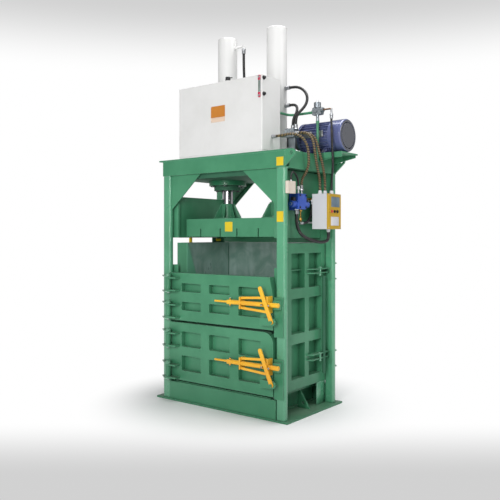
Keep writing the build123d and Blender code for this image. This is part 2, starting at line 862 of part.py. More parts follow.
def latch_yoke(latch_z):
    """A yoke on the door's middle rail: two plates that guide the bolt and two spreading bars.

    The right plate is slotted in front, so that the bolt's dog pins pass through it.
    """
    plate_front = latch_y - bolt_radius - yoke_lip
    with BuildPart() as yoke:
        for x, half in ((yoke_left_x, yoke_left_half), (yoke_right_x, yoke_right_half)):
            with BuildSketch(Plane.YZ.offset(x - yoke_plate / 2)):
                with Locations(((plate_front + front_face) / 2, latch_z)):
                    Rectangle(front_face - plate_front, 2 * half + yoke_bar)
                with Locations((latch_y, latch_z)):
                    Circle(bolt_radius + bolt_clearance, mode=Mode.SUBTRACT)
            extrude(amount=yoke_plate)
        with BuildSketch(Plane(origin=(0, latch_y, latch_z), x_dir=(1, 0, 0), z_dir=(0, -1, 0))):
            for side in (-1, 1):
                with BuildLine():
                    Polyline(
                        (yoke_left_x, side * (yoke_left_half - yoke_bar / 2)),
                        (yoke_right_x, side * (yoke_right_half - yoke_bar / 2)),
                        (yoke_right_x, side * (yoke_right_half + yoke_bar / 2)),
                        (yoke_left_x, side * (yoke_left_half + yoke_bar / 2)), close=True,
                    )
                make_face()
        extrude(amount=yoke_bar * 0.4, both=True)
        slot_half = dog_radius + dog_clearance
        block(
            (yoke_right_x - yoke_plate / 2, yoke_right_x + yoke_plate / 2), (plate_front, latch_y),
            (latch_z - slot_half, latch_z + slot_half), mode=Mode.SUBTRACT,
        )
    return yoke


def latch_bolt(latch_z):
    """A sliding bolt: tail rod, clevis with its pin, thick bar, and two dog pins for the lever."""
    with BuildPart() as bolt:
        bar((bolt_clevis_x, latch_y, latch_z), (1, 0, 0), bolt_radius, bolt_end_x - bolt_clevis_x)
        chamfer(bolt.faces().sort_by(Axis.X)[-1].edges(), length=bolt_chamfer)
        bar((bolt_tail_x, latch_y, latch_z), (1, 0, 0), bolt_tail_radius, bolt_clevis_x - bolt_tail_x)
        with Locations((bolt_clevis_x, latch_y, latch_z)):
            Box(bolt_clevis_width, bolt_clevis_height, bolt_clevis_height)
        pin_low = latch_z - clevis_pin_length / 2
        bar((bolt_clevis_x, latch_y, pin_low), (0, 0, 1), clevis_pin_radius, clevis_pin_length)
        for offset in (-dog_spacing, dog_spacing):
            bar(
                (lever_cross_x + offset, latch_y, latch_z), (0, -1, 0), dog_radius,
                bolt_radius + lever_gap + lever_thickness + dog_end,
            )
    return bolt


def latch_lever(latch_z):
    """A hand lever on its pivot, leaning over the bolt between the dog pins."""
    tilt = radians(lever_angle)
    pivot = (lever_pivot_x, latch_z - lever_pivot_drop)
    reach = (pivot[0] - lever_length * sin(tilt), pivot[1] + lever_length * cos(tilt))
    with BuildPart() as lever:
        with BuildSketch(Plane(origin=(0, lever_back, 0), x_dir=(1, 0, 0), z_dir=(0, -1, 0))):
            with BuildLine():
                Line(pivot, reach)
            trace(line_width=lever_width)
            with Locations(pivot, reach):
                Circle(lever_width / 2)
            with Locations(pivot):
                Circle(lever_pin_radius + lever_play, mode=Mode.SUBTRACT)
        extrude(amount=lever_thickness)
        fillet(lever.faces().sort_by(Axis.Y)[0].outer_wire().edges(), radius=3)
    return lever


for level, latch_z in (("upper", upper_latch_z), ("lower", lower_latch_z)):
    write_step(latch_yoke(latch_z), f"{level}_latch_yoke")
    write_step(latch_bolt(latch_z), f"{level}_latch_bolt")
    write_step(latch_lever(latch_z), f"{level}_latch_lever")

# Platen: a tray with open bays between its strapping grooves
with BuildPart() as platen:
    front, rear = front_y + platen_front, front_y + platen_rear
    block((-platen_half_width, platen_half_width), (front, rear), (platen_bottom, platen_top))
    groove_xs = (-groove_outer, -groove_inner, groove_inner, groove_outer)
    for x in groove_xs:
        block(
            (x - groove_width / 2, x + groove_width / 2), (front, rear),
            (platen_bottom, platen_bottom + groove_height), mode=Mode.SUBTRACT,
        )
    edges = (-platen_half_width - groove_width / 2,) + groove_xs + (platen_half_width + groove_width / 2,)
    bands = (
        (front + platen_wall, cylinder_y - foot_flange_radius - platen_wall),
        (cylinder_y + foot_flange_radius + platen_wall, rear - platen_wall),
    )
    for left, right in zip(edges, edges[1:]):
        bay = (left + groove_width / 2 + platen_wall, right - groove_width / 2 - platen_wall)
        for band in bands:
            block(bay, band, (platen_bottom + platen_floor, platen_top), mode=Mode.SUBTRACT)
write_step(platen, "platen")

cylinder_xs = (-cylinder_spread, cylinder_spread)

# Rod feet: flanged bosses with tapering ribs round them
rib_reach = foot_flange_radius - 6
rib_height = rod_foot_height - foot_flange_thickness - rod_rib_end
with BuildPart() as rod_feet:
    for x in cylinder_xs:
        bar((x, cylinder_y, platen_top), (0, 0, 1), foot_flange_radius, foot_flange_thickness)
        bar((x, cylinder_y, platen_top), (0, 0, 1), rod_boss_radius, rod_foot_height)
        for index in range(rod_rib_count):
            turn = index * 360 / rod_rib_count + 180 / rod_rib_count
            rib_plane = Plane(
                origin=(x, cylinder_y, platen_top + foot_flange_thickness),
                x_dir=(cos(radians(turn)), sin(radians(turn)), 0),
                z_dir=(sin(radians(turn)), -cos(radians(turn)), 0),
            )
            with BuildSketch(rib_plane):
                with BuildLine():
                    Polyline(
                        (rod_boss_radius - 4, 0), (rib_reach, 0), (rib_reach, rod_rib_end),
                        (rod_boss_radius + 8, rib_height), (rod_boss_radius - 4, rib_height), close=True,
                    )
                make_face()
            extrude(amount=rod_rib_thickness / 2, both=True)
        bar(
            (x, cylinder_y, platen_top + foot_flange_thickness), (0, 0, 1), rod_radius + rod_seat_gap,
            rod_foot_height, mode=Mode.SUBTRACT,
        )
write_step(rod_feet, "rod_feet")

# Piston rods with their pistons, near the top of the barrels when the platen is up
rod_bottom = platen_top + foot_flange_thickness
piston_top = barrel_top - barrel_cap - piston_top_gap
with BuildPart() as piston_rods:
    for x in cylinder_xs:
        bar((x, cylinder_y, rod_bottom), (0, 0, 1), rod_radius, piston_top - rod_bottom)
        bar(
            (x, cylinder_y, piston_top - piston_thickness), (0, 0, 1), barrel_bore - running_fit,
            piston_thickness,
        )
write_step(piston_rods, "piston_rods")

# Cylinder barrels, closed at the top, each flanged under the crown plate; the left one has its pipe
port_z = barrel_top - port_drop
pipe_end_x = -cylinder_spread + barrel_radius + port_reach
pipe_end_z = port_z - pipe_radius - 14
boss_zs = (barrel_top - upper_boss_drop, barrel_top - lower_boss_drop)
for name, x in (("left", -cylinder_spread), ("right", cylinder_spread)):
    with BuildPart() as barrel:
        with BuildSketch(Plane(origin=(x, cylinder_y, 0), x_dir=(1, 0, 0), z_dir=(0, -1, 0))):
            with BuildLine():
                Polyline(
                    (barrel_bore, flange_bottom), (flange_radius, flange_bottom),
                    (flange_radius, crown_bottom), (barrel_radius, crown_bottom),
                    (barrel_radius, barrel_top - barrel_chamfer),
                    (barrel_radius - barrel_chamfer, barrel_top), (0, barrel_top),
                    (0, barrel_top - barrel_cap), (barrel_bore, barrel_top - barrel_cap), close=True,
                )
            make_face()
        revolve(axis=Axis((x, cylinder_y, 0), (0, 0, 1)))
        with Locations((x, cylinder_y, flange_bottom)):
            with PolarLocations(flange_bolt_circle, flange_bolt_count):
                Cylinder(
                    flange_bolt_hole, flange_thickness,
                    align=(Align.CENTER, Align.CENTER, Align.MIN), mode=Mode.SUBTRACT,
                )
        if name == "left":
            bar((x + barrel_radius - 4, cylinder_y, port_z), (1, 0, 0), pipe_radius, port_reach + 4)
            elbow_top = port_z + pipe_radius
            bar((pipe_end_x, cylinder_y, elbow_top), (0, 0, -1), pipe_radius, elbow_top - pipe_end_z)
        else:
            for boss_z in boss_zs:
                bar((x + barrel_radius - 4, cylinder_y, boss_z), (1, 0, 0), pipe_radius + 3, boss_length + 4)
    write_step(barrel, f"barrel_{name}")

# Glands under the flanges, bored for the rods
with BuildPart() as glands:
    for x in cylinder_xs:
        bar((x, cylinder_y, gland_bottom), (0, 0, 1), gland_radius, gland_thickness)
        bar((x, cylinder_y, flange_bottom), (0, 0, 1), barrel_bore - 4 * running_fit, flange_thickness / 2)
        bar(
            (x, cylinder_y, gland_bottom), (0, 0, 1), rod_radius + running_fit,
            gland_thickness + flange_thickness / 2, mode=Mode.SUBTRACT,
        )
write_step(glands, "glands")

# Hexagon bolts through the flanges and the crown plate
with BuildPart() as flange_bolts:
    for x in cylinder_xs:
        with BuildSketch(Plane.XY.offset(flange_bottom)):
            with Locations((x, cylinder_y)):
                with PolarLocations(flange_bolt_circle, flange_bolt_count):
                    RegularPolygon(flange_bolt_radius * 1.7, 6)
        extrude(amount=-bolt_head_height)
        with Locations((x, cylinder_y, flange_bottom)):
            with PolarLocations(flange_bolt_circle, flange_bolt_count):
                Cylinder(
                    flange_bolt_radius, flange_thickness + crown_thickness,
                    align=(Align.CENTER, Align.CENTER, Align.MIN),
                )
        with BuildSketch(Plane.XY.offset(beam_bottom)):
            with Locations((x, cylinder_y)):
                with PolarLocations(flange_bolt_circle, flange_bolt_count):
                    RegularPolygon(flange_bolt_radius * 1.7, 6)
        extrude(amount=nut_height)
write_step(flange_bolts, "flange_bolts")

# Oil tank on two rails, with a filler neck and an outlet boss on its right side
outlet_z = tank_bottom + tank_outlet_rise
with BuildPart() as oil_tank:
    block((tank_left, tank_right), (front_y, front_y + tank_depth), (tank_bottom, tank_top))
    fillet(oil_tank.edges().filter_by(Axis.Z), radius=tank_edge_radius)
    for x in (tank_left + 60, tank_right - 100):
        block((x, x + 40), (front_y + 20, front_y + tank_depth - 20), (frame_top, tank_bottom))
    bar((filler_x, front_y + filler_setback, tank_top), (0, 0, 1), filler_neck_radius, filler_neck_height)
    bar((filler_x, front_y + filler_setback, tank_top), (0, 0, 1), filler_cap_radius + 8, 6)
write_step(oil_tank, "oil_tank")

# Filler cap with a rim that goes down over the neck, and a dipstick grip
with BuildPart() as filler_cap:
    cap_z = tank_top + filler_neck_height
    bar((filler_x, front_y + filler_setback, cap_z - 14), (0, 0, 1), filler_cap_radius, filler_cap_height)
    bar(
        (filler_x, front_y + filler_setback, cap_z - 14), (0, 0, 1),
        filler_neck_radius + bolt_clearance, 14, mode=Mode.SUBTRACT,
    )
    bar((filler_x + filler_cap_radius - 3, front_y + filler_setback, cap_z + 6), (1, 0, 0), 4, 30)
write_step(filler_cap, "filler_cap")

# Level gauge: a backed sight glass between two end blocks
with BuildPart() as level_gauge:
    block(
        (gauge_x - gauge_width / 2, gauge_x + gauge_width / 2), (front_y - gauge_depth * 0.6, front_y),
        (gauge_bottom, gauge_top),
    )
    for z in (gauge_bottom, gauge_top - gauge_block):
        block(
            (gauge_x - gauge_width / 2, gauge_x + gauge_width / 2), (front_y - gauge_depth, front_y),
            (z, z + gauge_block),
        )
write_step(level_gauge, "level_gauge")

motor_y = front_y + motor_setback

# Shelf for the motor, carried past the frame's right side on two brackets
with BuildPart() as motor_shelf:
    shelf_y = (motor_y - shelf_half_depth, motor_y + shelf_half_depth)
    block((shelf_left, shelf_right), shelf_y, (frame_top, frame_top + shelf_thickness))
    block((side_x, shelf_right), (shelf_y[0], shelf_y[0] + 6), (frame_top - 35, frame_top))
    for y in (shelf_y[0] + 6, shelf_y[1] - 12):
        with BuildSketch(Plane(origin=(0, y, 0), x_dir=(1, 0, 0), z_dir=(0, -1, 0))):
            with BuildLine():
                Polyline(
                    (side_x, frame_top), (shelf_right - 20, frame_top), (shelf_right - 20, frame_top - 20),
                    (side_x, frame_top - shelf_bracket_height), close=True,
                )
            make_face()
        extrude(amount=-12)
write_step(motor_shelf, "motor_shelf")

# Motor: finned casing between two end shields, on two feet, bored for its shaft
shield_radius = fan_cover_radius - fan_cover_wall - 0.3
foot_z = frame_top + shelf_thickness
with BuildPart() as motor_body:
    with BuildSketch(Plane(origin=(motor_left, motor_y, motor_z), x_dir=(0, 1, 0), z_dir=(1, 0, 0))):
        Circle(motor_radius)
        with PolarLocations(motor_radius + motor_fin_height / 2 - 2, motor_fin_count):
            Rectangle(motor_fin_height + 4, 4.5)
    extrude(amount=motor_right - motor_left)
    bar((motor_left, motor_y, motor_z), (1, 0, 0), shield_radius, 22)
    bar((motor_right - 26, motor_y, motor_z), (1, 0, 0), shield_radius, 26)
    for x in (motor_left + 60, motor_right - 110):
        with BuildSketch(Plane(origin=(x, motor_y, foot_z), x_dir=(0, 1, 0), z_dir=(1, 0, 0))):
            with BuildLine():
                Polyline(
                    (-108, 0), (-60, 0), (-48, 10), (48, 10), (60, 0), (108, 0), (108, 14),
                    (84, 18), (70, 60), (-70, 60), (-84, 18), (-108, 14), close=True,
                )
            make_face()
        extrude(amount=50)
    block(
        (motor_left + 100, motor_left + 220), (motor_y + motor_radius, motor_y + motor_radius + 56),
        (motor_z - 45, motor_z + 45),
    )
    bar(
        (motor_left, motor_y, motor_z), (1, 0, 0), shaft_radius + running_fit, motor_right - motor_left,
        mode=Mode.SUBTRACT,
    )
write_step(motor_body, "motor_body")

# Fan cover with a ringed grille at its end
fan_end = motor_right + fan_cover_length
with BuildPart() as fan_cover:
    bar((motor_right - 20, motor_y, motor_z), (1, 0, 0), fan_cover_radius, fan_end - motor_right + 20)
    fillet(fan_cover.faces().sort_by(Axis.X)[-1].edges(), radius=16)
    bar(
        (motor_right - 20, motor_y, motor_z), (1, 0, 0), fan_cover_radius - fan_cover_wall,
        fan_end - motor_right + 20 - fan_cover_wall - 13, mode=Mode.SUBTRACT,
    )
    bar(
        (fan_end - 17, motor_y, motor_z), (1, 0, 0), fan_cover_radius - 18, 17 - fan_cover_wall,
        mode=Mode.SUBTRACT,
    )
    with BuildSketch(Plane(origin=(fan_end, motor_y, motor_z), x_dir=(0, 1, 0), z_dir=(1, 0, 0))):
        for radius in range(36, 120, 14):
            Circle(radius + 8)
            Circle(radius, mode=Mode.SUBTRACT)
    extrude(amount=-fan_cover_wall, mode=Mode.SUBTRACT)
    with BuildSketch(Plane(origin=(fan_end, motor_y, motor_z), x_dir=(0, 1, 0), z_dir=(1, 0, 0))):
        with PolarLocations(0, 4):
            Rectangle(2 * (fan_cover_radius - 17), 5)
    extrude(amount=-fan_cover_wall)
write_step(fan_cover, "fan_cover")

# Rotor: shaft with a bladed fan on its outer end
with BuildPart() as motor_rotor:
    bar((motor_left - 42, motor_y, motor_z), (1, 0, 0), shaft_radius, motor_right - motor_left + 112)
    bar((motor_right + 26, motor_y, motor_z), (1, 0, 0), 30, 42)
    with Locations(Plane(origin=(motor_right + 47, motor_y, motor_z), x_dir=(0, 1, 0), z_dir=(1, 0, 0))):
        with PolarLocations((fan_radius + 28) / 2, fan_blades):
            Box(fan_radius - 28 + 6, 4, 34)
write_step(motor_rotor, "motor_rotor")

# Bell housing and gear pump on the motor's inner end
with BuildPart() as pump:
    bell_left = motor_left - bell_length
    bar((bell_left, motor_y, motor_z), (1, 0, 0), bell_radius, bell_length)
    bar((bell_left + 16, motor_y, motor_z), (1, 0, 0), bell_radius - 22, bell_length - 16, mode=Mode.SUBTRACT)
    bar((bell_left - pump_length, motor_y, motor_z), (1, 0, 0), pump_radius, pump_length)
    block(
        (bell_left - 130, bell_left - 40), (motor_y - pump_radius, motor_y + pump_radius),
        (motor_z - pump_radius, motor_z + pump_radius + 12),
    )
write_step(pump, "pump")

# Manifold on a stand bolted to the top plate, with its round plugs
stand_y = front_y + (manifold_front + manifold_rear) / 2
with BuildPart() as manifold:
    block(
        (manifold_left, manifold_right), (front_y + manifold_front, front_y + manifold_rear),
        (manifold_bottom, manifold_top),
    )
    chamfer(manifold.edges().filter_by(Axis.Z), length=5)
    block((manifold_left + 12, manifold_right - 12), (stand_y - 6, stand_y + 6), (frame_top, manifold_bottom))
    block((manifold_left + 6, manifold_right - 6), (stand_y - 35, stand_y + 35), (frame_top, frame_top + 8))
    bar((manifold_left + 30, front_y + manifold_front - 26, manifold_top - 30), (0, 1, 0), 15, 26)
    bar((manifold_left + 66, front_y + manifold_front - 40, manifold_top - 38), (0, 1, 0), 11, 40)
write_step(manifold, "manifold")

# Green return pipe: a riser beside the frame and a header to the back of the tank
riser_y = front_y + riser_setback
header_y = front_y + header_setback
head_bottom = riser_top + head_neck
header_start = riser_x - 46
with BuildPart() as header_pipe:
    with BuildLine():
        FilletPolyline(
            (header_start, header_y, header_z), (header_left_x, header_y, header_z),
            (header_left_x, front_y + tank_depth, header_z), radius=header_bend,
        )
    with BuildSketch(Plane(origin=(header_start, header_y, header_z), z_dir=(-1, 0, 0))):
        Circle(pipe_radius)
    sweep()
    bar((header_start, header_y, header_z), (-1, 0, 0), pipe_radius + 4, 16)
with BuildPart() as return_pipe:
    bar((side_x, riser_y, riser_bottom), (1, 0, 0), pipe_radius, riser_x - side_x + pipe_radius)
    bar(
        (riser_x, riser_y, riser_bottom - pipe_radius), (0, 0, 1), pipe_radius,
        riser_top - riser_bottom + pipe_radius,
    )
    bar((riser_x, riser_y, riser_top - 18), (0, 0, 1), pipe_radius + 4, 18)
    add(header_pipe.part)
write_step(return_pipe, "return_pipe")

# Relief head on the riser's black neck: a stepped casting with a round bonnet
with BuildPart() as relief_head:
    bar((riser_x, riser_y, riser_top), (0, 0, 1), pipe_radius + 2, head_neck)
    block(
        (header_start, riser_x + 40), (header_y - 22, riser_y + 30), (head_bottom - 14, head_bottom + 46),
    )
    bonnet_y = (header_y + riser_y) / 2
    bar((riser_x - 4, bonnet_y, head_bottom + 46), (0, 0, 1), bonnet_radius, head_height - 66)
    bar((riser_x + 40, riser_y - 8, head_bottom + 22), (1, 0, 0), head_boss_radius, 26)
write_step(relief_head, "relief_head")

# Blue valve: a body between two solenoids, on the right side plate
valve_y = (front_y + valve_front, front_y + valve_rear)
valve_x = (plate_outer_x + valve_outer_x) / 2 + 8
with BuildPart() as valve_block:
    block(
        (plate_outer_x, plate_outer_x + 14), (valve_y[0] - 12, valve_y[1] + 12),
        (valve_bottom - 8, valve_top + 8),
    )
    block((plate_outer_x, valve_outer_x), valve_y, (valve_bottom, valve_top))
    chamfer(valve_block.faces().sort_by(Axis.X)[-1].edges(), length=6)
    for y, way in ((valve_y[0], -1), (valve_y[1], 1)):
        bar((valve_x, y, valve_bottom + 42), (0, way, 0), solenoid_radius, solenoid_length)
        bar((valve_x, y + way * solenoid_length, valve_bottom + 42), (0, way, 0), 9, 10)
write_step(valve_block, "valve_block")

# Control box on two straps from the side plate, with a hinged door facing outwards
box_y = (front_y + box_front, front_y + box_rear)
door_plane = box_outer_x - box_door_thickness
knuckle_x = door_plane - box_knuckle_radius
knuckle_y = box_y[1] + box_knuckle_radius + box_knuckle_gap
knuckle_zs = (box_bottom + 30, box_top - 30 - 3 * box_knuckle_height)
with BuildPart() as control_box:
    block((box_inner_x, door_plane), box_y, (box_bottom, box_top))
    block(
        (box_inner_x + box_wall, door_plane), (box_y[0] + box_wall, box_y[1] - box_wall),
        (box_bottom + box_wall, box_top - box_wall), mode=Mode.SUBTRACT,
    )
    block(
        (box_inner_x + box_wall, box_inner_x + 30), (box_y[0] + 40, box_y[1] - 40),
        (box_bottom + 50, box_top - 50),
    )
    for z in (box_bottom + 50, box_top - 62):
        block((plate_outer_x, box_inner_x), (box_y[0] + 60, box_y[1] - 60), (z, z + 12))
    for z in knuckle_zs:
        for low in (z, z + 2 * box_knuckle_height):
            bar((knuckle_x, knuckle_y, low), (0, 0, 1), box_knuckle_radius, box_knuckle_height)
            block(
                (knuckle_x - box_knuckle_radius, knuckle_x), (box_y[1], knuckle_y),
                (low, low + box_knuckle_height),
            )
        bar((knuckle_x, knuckle_y, z), (0, 0, 1), box_pin_radius, 3 * box_knuckle_height)
write_step(control_box, "control_box")
with BuildPart() as control_box_door:
    block((door_plane + box_door_gap, box_outer_x), box_y, (box_bottom, box_top))
    fillet(control_box_door.faces().sort_by(Axis.X)[-1].edges(), radius=4)
    bar((box_outer_x, box_y[0] + 22, (box_bottom + box_top) / 2), (1, 0, 0), 9, 8)
    for z in knuckle_zs:
        knuckle = (z + box_knuckle_height + box_knuckle_gap, z + 2 * box_knuckle_height - box_knuckle_gap)
        height = knuckle[1] - knuckle[0]
        leaf_y = knuckle_y + box_knuckle_radius
        bar((knuckle_x, knuckle_y, knuckle[0]), (0, 0, 1), box_knuckle_radius, height)
        block((knuckle_x, door_plane + 6), (leaf_y - 3, leaf_y), knuckle)
        block((door_plane + box_door_gap, door_plane + 6), (box_y[1] - 2, leaf_y), knuckle)
        bar(
            (knuckle_x, knuckle_y, knuckle[0]), (0, 0, 1), box_pin_radius + hinge_fit, height,
            mode=Mode.SUBTRACT,
        )
write_step(control_box_door, "control_box_door")

# Pressure switch on the outer face of the right front post
with BuildPart() as pressure_switch:
    block(
        (side_x, side_x + switch_width), (front_y + 6, front_y + 6 + switch_depth),
        (switch_bottom, switch_bottom + switch_height),
    )
    fillet(pressure_switch.faces().sort_by(Axis.X)[-1].edges(), radius=4)
write_step(pressure_switch, "pressure_switch")


def place(x, setback, z):
    """A point from its distance behind the frame's front plane."""
    return Vector(x, front_y + setback, z)


right, left, behind = Vector(1, 0, 0), Vector(-1, 0, 0), Vector(0, 1, 0)
ahead, up, down = Vector(0, -1, 0), Vector(0, 0, 1), Vector(0, 0, -1)
barrel_face_x = cylinder_spread + barrel_radius + boss_length
valve_pipe_z = valve_top - 37
valve_pipe_setback = valve_front + 258
valve_elbow_z = valve_bottom - 115
head_pipe_x = riser_x + 140

# Each hose: its radius, its two ports as a face point, a way out and a fitting's length,
# the straight lead at each end, and its shape as offsets from the line between the leads
hoses = {
    "cylinder_hose_left": (
        hose_radius,
        (Vector(pipe_end_x, cylinder_y, pipe_end_z), down, 45),
        (place(manifold_left, manifold_front + 20, manifold_bottom + 20), left, ferrule_length),
        (98, 96),
        (
            (-31, 11, -39), (-62, 21, -78), (-98, 30, -116), (-136, 42, -154), (-177, 51, -192),
            (-214, 53, -230), (-235, 39, -265), (-221, 3, -274), (-173, -26, -245), (-112, -31, -184),
            (-53, -22, -100),
        ),
    ),
    "cylinder_hose_upper": (
        hose_radius,
        (Vector(barrel_face_x, cylinder_y, boss_zs[0]), right, ferrule_length),
        (place(manifold_left + 70, manifold_front + 68, manifold_top), up, ferrule_length),
        (50, 49),
        ((41, 9, 25), (74, 18, 36), (99, 27, 34), (106, 29, 24), (95, 23, 13), (66, 10, 8), (25, 0, 8)),
    ),
    "cylinder_hose_lower": (
        hose_radius,
        (Vector(barrel_face_x, cylinder_y, boss_zs[1]), right, ferrule_length),
        (place(manifold_left + 30, manifold_front + 84, manifold_top), up, ferrule_length),
        (35, 30),
        ((26, 4, 16), (41, 1, 18), (44, -5, 15), (35, -9, 11), (16, -9, 5)),
    ),
    "striped_hose_a": (
        striped_hose_radius,
        (place(tank_right, tank_outlet_setback, outlet_z), right, ferrule_length),
        (place(valve_outer_x - 16, valve_front + 64, valve_top), up, 70),
        (56, 30),
        (
            (48, -2, 44), (91, 8, 78), (125, 24, 89), (139, 38, 81), (140, 42, 63), (133, 38, 43),
            (123, 30, 23), (100, 24, 7), (64, 19, -1), (23, 13, 3),
        ),
    ),
    "striped_hose_b": (
        striped_hose_radius,
        (place(manifold_right, manifold_front + 25, manifold_bottom + 30), right, ferrule_length),
        (place(box_inner_x + 60, box_front + 28, box_top), up, 30),
        (55, 54),
        (
            (43, -17, 21), (69, -31, 22), (70, -41, 12), (64, -44, 2), (57, -44, -5), (49, -42, -11),
            (35, -27, -8), (15, -5, 3),
        ),
    ),
    "striped_hose_c": (
        striped_hose_radius,
        (place(manifold_right, manifold_front + 75, manifold_bottom + 30), right, ferrule_length),
        (place(box_inner_x + 76, box_front + 84, box_top), up, 30),
        (54, 54),
        (
            (42, -18, 21), (67, -32, 23), (68, -39, 14), (67, -39, 6), (64, -35, 2), (55, -30, -3),
            (40, -20, -3), (19, -4, 3),
        ),
    ),
    "loop_hose": (
        hose_radius,
        (place(valve_x, valve_front + 22, valve_bottom), down, ferrule_length),
        (place(box_inner_x + 82, box_front + 130, box_bottom), down, 26),
        (52, 55),
        (
            (-9, -30, -35), (-8, -49, -66), (-3, -60, -91), (8, -57, -100), (16, -43, -111),
            (18, -26, -124), (15, -5, -107), (9, 7, -64),
        ),
    ),
    "valve_hose": (
        cable_radius,
        (place(valve_x, valve_pipe_setback, valve_pipe_z), down, 46),
        (place(valve_x, valve_front + 80, valve_elbow_z), behind, 30),
        (32, 32),
        ((0, 14, -9), (0, 23, -18), (0, 24, -22), (0, 20, -22), (0, 12, -15)),
    ),
    "motor_cable": (
        cable_radius,
        (Vector(head_pipe_x, riser_y - 8, head_bottom + 22), down, 82),
        (place(box_inner_x + 122, box_front + 116, box_top), up, 30),
        (59, 56),
        (
            (11, -15, -5), (22, -30, -11), (32, -43, -16), (40, -51, -22), (43, -53, -26),
            (39, -47, -26), (27, -32, -18), (11, -13, -7),
        ),
    ),
    "switch_cable": (
        thin_cable_radius,
        (place(side_x + 16, 60, switch_bottom + switch_height), up, 12),
        (place(valve_outer_x - 18, valve_front + 18, valve_top), up, 60),
        (31, 31),
        ((4, -9, 30), (3, -5, 46), (2, 0, 50), (0, 4, 49), (-2, 8, 44), (-3, 11, 36), (-4, 10, 23)),
    ),
}


def hose_route(first_port, last_port, leads, offsets):
    """Corner points of a hose between the outer ends of its two fittings."""
    start = first_port[0] + first_port[1] * first_port[2]
    end = last_port[0] + last_port[1] * last_port[2]
    near = start + first_port[1] * leads[0]
    far = end + last_port[1] * leads[1]
    inner = [
        near + (far - near) * ((index + 1) / (len(offsets) + 1)) + Vector(*offset)
        for index, offset in enumerate(offsets)
    ]
    return [start, near] + inner + [far, end]


def bend_radii(points):
    """The largest arcs that the runs beside each corner leave room for."""
    radii = []
    for before, corner, after in zip(points, points[1:], points[2:]):
        first, second = corner - before, after - corner
        half_turn = radians(first.get_angle(second)) / 2
        radii.append(0.45 * min(first.length, second.length) / tan(half_turn))
    return radii


for name, (radius, first_port, last_port, leads, offsets) in hoses.items():
    corners = hose_route(first_port, last_port, leads, offsets)
    radii = bend_radii(corners)
    with BuildPart() as tube:
        with BuildLine() as path:
            FilletPolyline(*corners, radius=radii)
        with BuildSketch(Plane(origin=corners[0], z_dir=corners[1] - corners[0])):
            Circle(radius)
        sweep()
    length = path.wires()[0].length
    share = tube.part.volume / (pi * radius ** 2 * length)
    tightest = min(radii) / (2 * radius)
    print(f"{name}: length {length:.0f}, tightest bend {tightest:.1f} diameters, volume share {share:.4f}")
    write_step(tube, name)

# Ferrules with their nuts at the ends of the hoses, and the pipes that some of them screw on to
fitting_ends = []
for radius, first_port, last_port, leads, offsets in hoses.values():
    fitting_ends += [(radius, *first_port), (radius, *last_port)]
with BuildPart() as pipe_fittings:
    for radius, face, way, length in fitting_ends:
        nut = min(0.4 * length, 2.4 * radius)
        bar(face, way, radius * 1.25, nut)
        bar(face + way * nut, way, radius * 1.45, length - nut)
    pipe_start = place(valve_x, valve_rear, valve_pipe_z)
    bar(pipe_start, behind, cable_radius, valve_pipe_setback - valve_rear + cable_radius)
    elbow = place(valve_x, valve_front + 80, valve_bottom)
    bar(elbow, down, cable_radius, valve_bottom - valve_elbow_z + cable_radius)
    head_side = Vector(riser_x + 66, riser_y - 8, head_bottom + 22)
    bar(head_side, right, cable_radius, head_pipe_x - head_side.X + cable_radius)
write_step(pipe_fittings, "pipe_fittings")
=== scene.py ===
"""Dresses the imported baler: paint, hoses and their ends, plates, gauge, bolts and closing plates.

Metres, +X to the right of the feed side, +Y to the rear, +Z up, origin on the floor.
"""
import logging
import math
from abc import ABC, abstractmethod
from dataclasses import dataclass
from enum import Enum
from itertools import product
from typing import Iterable, Sequence

import bmesh
import bpy
from mathutils import Matrix, Vector


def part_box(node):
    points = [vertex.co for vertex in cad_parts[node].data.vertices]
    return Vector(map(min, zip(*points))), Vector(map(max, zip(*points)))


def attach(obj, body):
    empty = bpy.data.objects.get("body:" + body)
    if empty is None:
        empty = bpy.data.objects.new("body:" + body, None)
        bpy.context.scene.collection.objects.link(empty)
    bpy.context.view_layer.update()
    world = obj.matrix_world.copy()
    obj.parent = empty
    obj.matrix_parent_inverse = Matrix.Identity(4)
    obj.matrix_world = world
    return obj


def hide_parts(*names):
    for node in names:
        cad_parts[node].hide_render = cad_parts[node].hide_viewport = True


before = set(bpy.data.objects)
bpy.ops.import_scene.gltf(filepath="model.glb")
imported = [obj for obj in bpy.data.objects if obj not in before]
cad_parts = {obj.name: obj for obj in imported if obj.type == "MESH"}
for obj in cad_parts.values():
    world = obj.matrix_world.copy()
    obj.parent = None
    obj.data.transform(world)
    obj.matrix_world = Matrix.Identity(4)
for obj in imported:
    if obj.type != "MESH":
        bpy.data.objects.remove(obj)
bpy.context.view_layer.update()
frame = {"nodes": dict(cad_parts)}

LOG = logging.getLogger("baler")
Pair = tuple[float, float]
Point = tuple[float, float, float]
Placed = tuple[Point, Point]
Colour = tuple[float, float, float, float]
Part = bpy.types.Object
Socket = bpy.types.NodeSocket
Settings = dict[str | int, object]

RIGHT, LEFT, BACK, AHEAD = (1.0, 0.0, 0.0), (-1.0, 0.0, 0.0), (0.0, 1.0, 0.0), (0.0, -1.0, 0.0)
UP, DOWN = (0.0, 0.0, 1.0), (0.0, 0.0, -1.0)
# Places read from the solids
FRONT = -0.3975
CHAMBER_HALF = (0.5225, 0.3588, 0.6305)
CHAMBER_MIDDLE = 0.8035
CYLINDER_X, CYLINDER_Y = 0.283, 0.0525
HINGE_X, HINGE_Y = 0.560, 0.4535
VALVE_X = 0.612
# Edges sharper than this many degrees stay crisp
CRISP_ANGLE = 35.0


class Body(Enum):
    """Moving bodies that the new pieces ride on."""

    FRAME = "frame"
    UPPER_BOLT = "upper_bolt"
    LOWER_BOLT = "lower_bolt"
    RAM = "ram"
    BOX_DOOR = "box_door"


